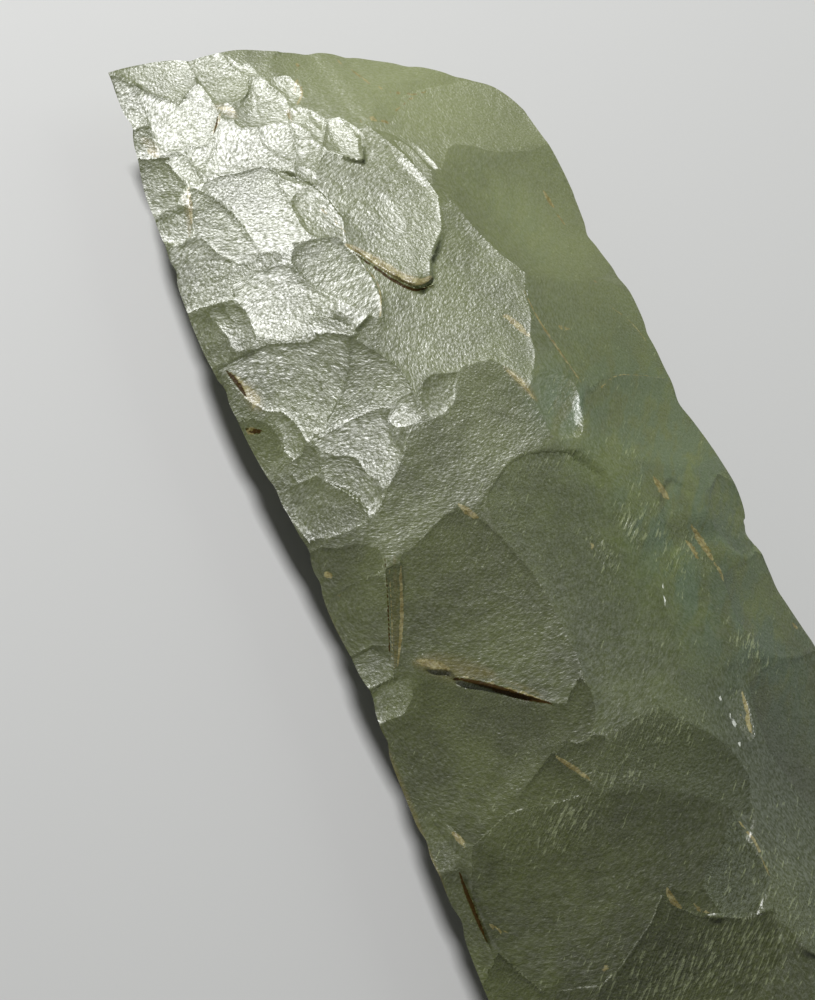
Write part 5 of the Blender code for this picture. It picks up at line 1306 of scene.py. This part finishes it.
def stone_colour(n, mm, marks, zones, tints, streaks):
    """Mottled greens, pale flecks, tan and brown marks, and painted light and shade."""
    broad = n.noise(mm, BROAD_PITCH, 4.0, 0.6)
    mottle = n.noise(mm, MOTTLE_PITCH, 4.0, 0.65)
    base = n.mix(n.ramp(broad, 0.35, 0.68), DEEP_GREEN, OLIVE)
    base = n.mix(n.math("MULTIPLY", n.ramp(mottle, 0.4, 0.75), MOTTLE), base, OLIVE)
    base = n.mix(tints[2], base, n.scaled(base, RICH))
    sand = n.ramp(n.noise(mm, SAND_PITCH, 3.0, 0.65), 0.52, 0.7)
    base = n.mix(n.math("MULTIPLY", sand, n.math("MULTIPLY", tints[2], SAND)), base, PALE_GREEN)
    veils = n.ramp(drawn_out(n, mm, VEIL_PITCH, 4.0), 0.42, 0.58)
    base = n.mix(n.math("MULTIPLY", zones[1], veils), base, BLUE_GREEN)
    # painted light: the colour turns paler towards the bit end
    base = n.mix(n.math("MULTIPLY", zones[2], LIGHT_AND_SHADE_SHARE), base, PALE_GREEN)
    # painted shade: the colour turns darker towards the poll end and the right-hand side
    base = n.mix(n.math("MULTIPLY", tints[1], LIGHT_AND_SHADE_SHARE), base, PAINTED_SHADE_GREEN)
    flecks = n.ramp(n.math("ADD", streaks, n.math("MULTIPLY", zones[0], FLECK_PULL)), 0.66, 0.76)
    base = n.mix(n.math("MULTIPLY", flecks, MARK_SHARE), base, FLECK)
    gold = n.math("MULTIPLY", n.ramp(tints[0], -0.1, 0.9), MARK_SHARE)
    base = n.mix(gold, base, GOLD)
    ragged = n.math("MULTIPLY", n.math("SUBTRACT", n.noise(mm, RAGGED_PITCH, 4.0, 0.7), 0.5), RAGGED)
    tan_place = n.ramp(n.math("ADD", marks[0], ragged), 0.05, 0.35)
    tan_colour = n.mix(n.ramp(n.noise(mm, TAN_PITCH, 3.0), 0.4, 0.62), TAN, CREAM)
    base = n.mix(tan_place, base, tan_colour)
    base = n.mix(n.ramp(n.math("ADD", marks[1], ragged), 0.1, 0.4), base, BROWN)
    return n.mix(n.ramp(n.math("ADD", marks[2], ragged), 0.1, 0.4), base, WHITE)


def stone_bump(n, mm, flake, tilt, zones, streaks):
    """Each facet's lean, crinkles across each flake's run, and a fine even grain."""
    crinkle = n.noise(n.scaled(flake, CRINKLE_PITCH), 1.0, *CRINKLE_FINE, 0.2)
    grain = n.noise(mm, GRAIN_PITCH, *GRAIN_FINE)
    swell_node = n.noise(mm, SWELL_PITCH, 2.0, 0.5)
    plain = n.add("ShaderNodeNewGeometry").outputs["Normal"]
    tilted = n.feed(n.add("ShaderNodeVectorMath", operation="ADD"), {0: plain, 1: tilt})
    normal = n.feed(n.add("ShaderNodeVectorMath", operation="NORMALIZE"),
                    {0: tilted.outputs[0]}).outputs[0]
    raised = n.math("MULTIPLY", streaks, zones[0])
    for height, distance in ((swell_node, SWELL), (crinkle, CRINKLE), (grain, GRAIN),
                             (raised, FLECK_RELIEF)):
        bump = n.add("ShaderNodeBump")
        values = {"Height": height, "Distance": distance, "Strength": 1.0, "Normal": normal}
        normal = n.feed(bump, values).outputs[0]
    return normal


def jasper():
    """Satin green jasper."""
    material = bpy.data.materials.new("green_jasper")
    material.use_nodes = True
    n = Nodes(material.node_tree)
    shader = material.node_tree.nodes["Principled BSDF"]
    mm = n.scaled(n.add("ShaderNodeTexCoord").outputs["Object"], (1000, 1000, 1000))
    flake, _ = n.stored("flake")
    marks = n.stored("marks")[1]
    zones = n.stored("zones")[1]
    tilt, _ = n.stored("tilt")
    tints = n.stored("tints")[1]
    spark = n.noise(n.scaled(flake, SPARK_PITCH), 1.0, 2.0, 0.6)
    streaks = drawn_out(n, mm, FLECK_PITCH, 2.0)
    shine = n.math("SUBTRACT", 1.0, n.math("MULTIPLY", tints[2], MATT))
    shine = n.math("MULTIPLY", shine, n.ramp(marks[1], -0.2, 0.3, 1.0, BROWN_SHINE))
    values = {"Base Color": stone_colour(n, mm, marks, zones, tints, streaks),
              "Roughness": n.ramp(n.noise(mm, SHEEN_PITCH, 3.0), 0.2, 0.8, SATIN, DULL),
              "Normal": stone_bump(n, mm, flake, tilt, zones, streaks),
              "IOR": GLOSS,
              "Specular IOR Level": n.math("MULTIPLY", shine, n.ramp(spark, 0.3, 0.72, *SPARK))}
    n.feed(shader, values)
    shader.inputs["Specular IOR Level"].default_value = sum(SPARK) / 2
    return material


def celt():
    """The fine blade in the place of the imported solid."""
    flakes = UPPER_SCARS + UPPER_FACETS + FINE_FACETS
    upper = worked_face(upper_blank, 1, UPPER_SEED, flakes, UPPER_LEDGES + FINE_LEDGES)
    under = worked_face(under_blank, -1, UNDER_SEED, under_scars(), [])
    mesh = blade_mesh(FINE_ROWS, FINE_COLUMNS, upper, under)
    item = bpy.data.objects.new("celt_stone", mesh)
    bpy.context.scene.collection.objects.link(item)
    item.data = simplified(item, FINE_TRIANGLES)
    cut_resting_flat(item.data)
    places = keep_inside(item.data, *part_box("celt"))
    paint(item.data, upper, under, places)
    item.data.shade_smooth()
    item.data.set_sharp_from_angle(angle=math.radians(SHARP_ANGLE))
    item.data.materials.append(jasper())
    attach(item, "root")
    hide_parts("celt")
    return item


def floor():
    """The pale ground that the celt lies on."""
    bpy.ops.mesh.primitive_plane_add(size=FLOOR_SIZE, location=(0, 0, 0))
    item = bpy.context.object
    item.name = "floor"
    material = bpy.data.materials.new("pale_floor")
    material.use_nodes = True
    shader = material.node_tree.nodes["Principled BSDF"]
    shader.inputs["Base Color"].default_value = FLOOR_COLOUR
    shader.inputs["Roughness"].default_value = FLOOR_ROUGHNESS
    item.data.materials.append(material)


def camera():
    """The photo's view of the celt."""
    around, high = math.radians(VIEW_FROM), math.radians(VIEW_HEIGHT)
    roll = math.radians(VIEW_ROLL)
    back = Vector((math.sin(around) * math.cos(high), -math.cos(around) * math.cos(high),
                   math.sin(high)))
    level = Vector((math.cos(around), math.sin(around), 0))
    upright = back.cross(level)
    right = level * math.cos(roll) + upright * math.sin(roll)
    up = upright * math.cos(roll) - level * math.sin(roll)
    data = bpy.data.cameras.new("view")
    data.lens = LENS * 1000
    data.sensor_width = SENSOR * 1000
    data.clip_start = 0.01
    item = bpy.data.objects.new("view", data)
    bpy.context.scene.collection.objects.link(item)
    place = Matrix((right, up, back)).transposed().to_4x4()
    place.translation = VIEW_AIM + back * VIEW_DISTANCE
    item.matrix_world = place
    bpy.context.scene.camera = item


def soft_light(name, direction, distance, size, power, aim):
    """A soft box that shines on aim from a direction, a distance away."""
    data = bpy.data.lights.new(name, "AREA")
    data.shape = "RECTANGLE"
    data.size, data.size_y = size
    data.energy = power
    item = bpy.data.objects.new(name, data)
    bpy.context.scene.collection.objects.link(item)
    direction = Vector(direction).normalized()
    item.location = Vector(aim) + direction * distance
    item.rotation_euler = direction.to_track_quat("Z", "Y").to_euler()


def studio():
    """A soft box above the bit, a wide one on the right, and dim light all round."""
    soft_light("key", KEY_FROM, KEY_DISTANCE, KEY_SIZE, KEY_POWER, KEY_AIM)
    soft_light("fill", FILL_FROM, FILL_DISTANCE, FILL_SIZE, FILL_POWER, KEY_AIM)
    bpy.data.lights["fill"].color = FILL_COLOUR
    world = bpy.data.worlds.new("studio")
    bpy.context.scene.world = world
    world.use_nodes = True
    background = world.node_tree.nodes["Background"]
    background.inputs["Color"].default_value = WORLD_COLOUR
    background.inputs["Strength"].default_value = WORLD_STRENGTH
    bpy.context.scene.view_settings.view_transform = "Standard"


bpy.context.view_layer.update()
celt()
floor()
camera()
studio()
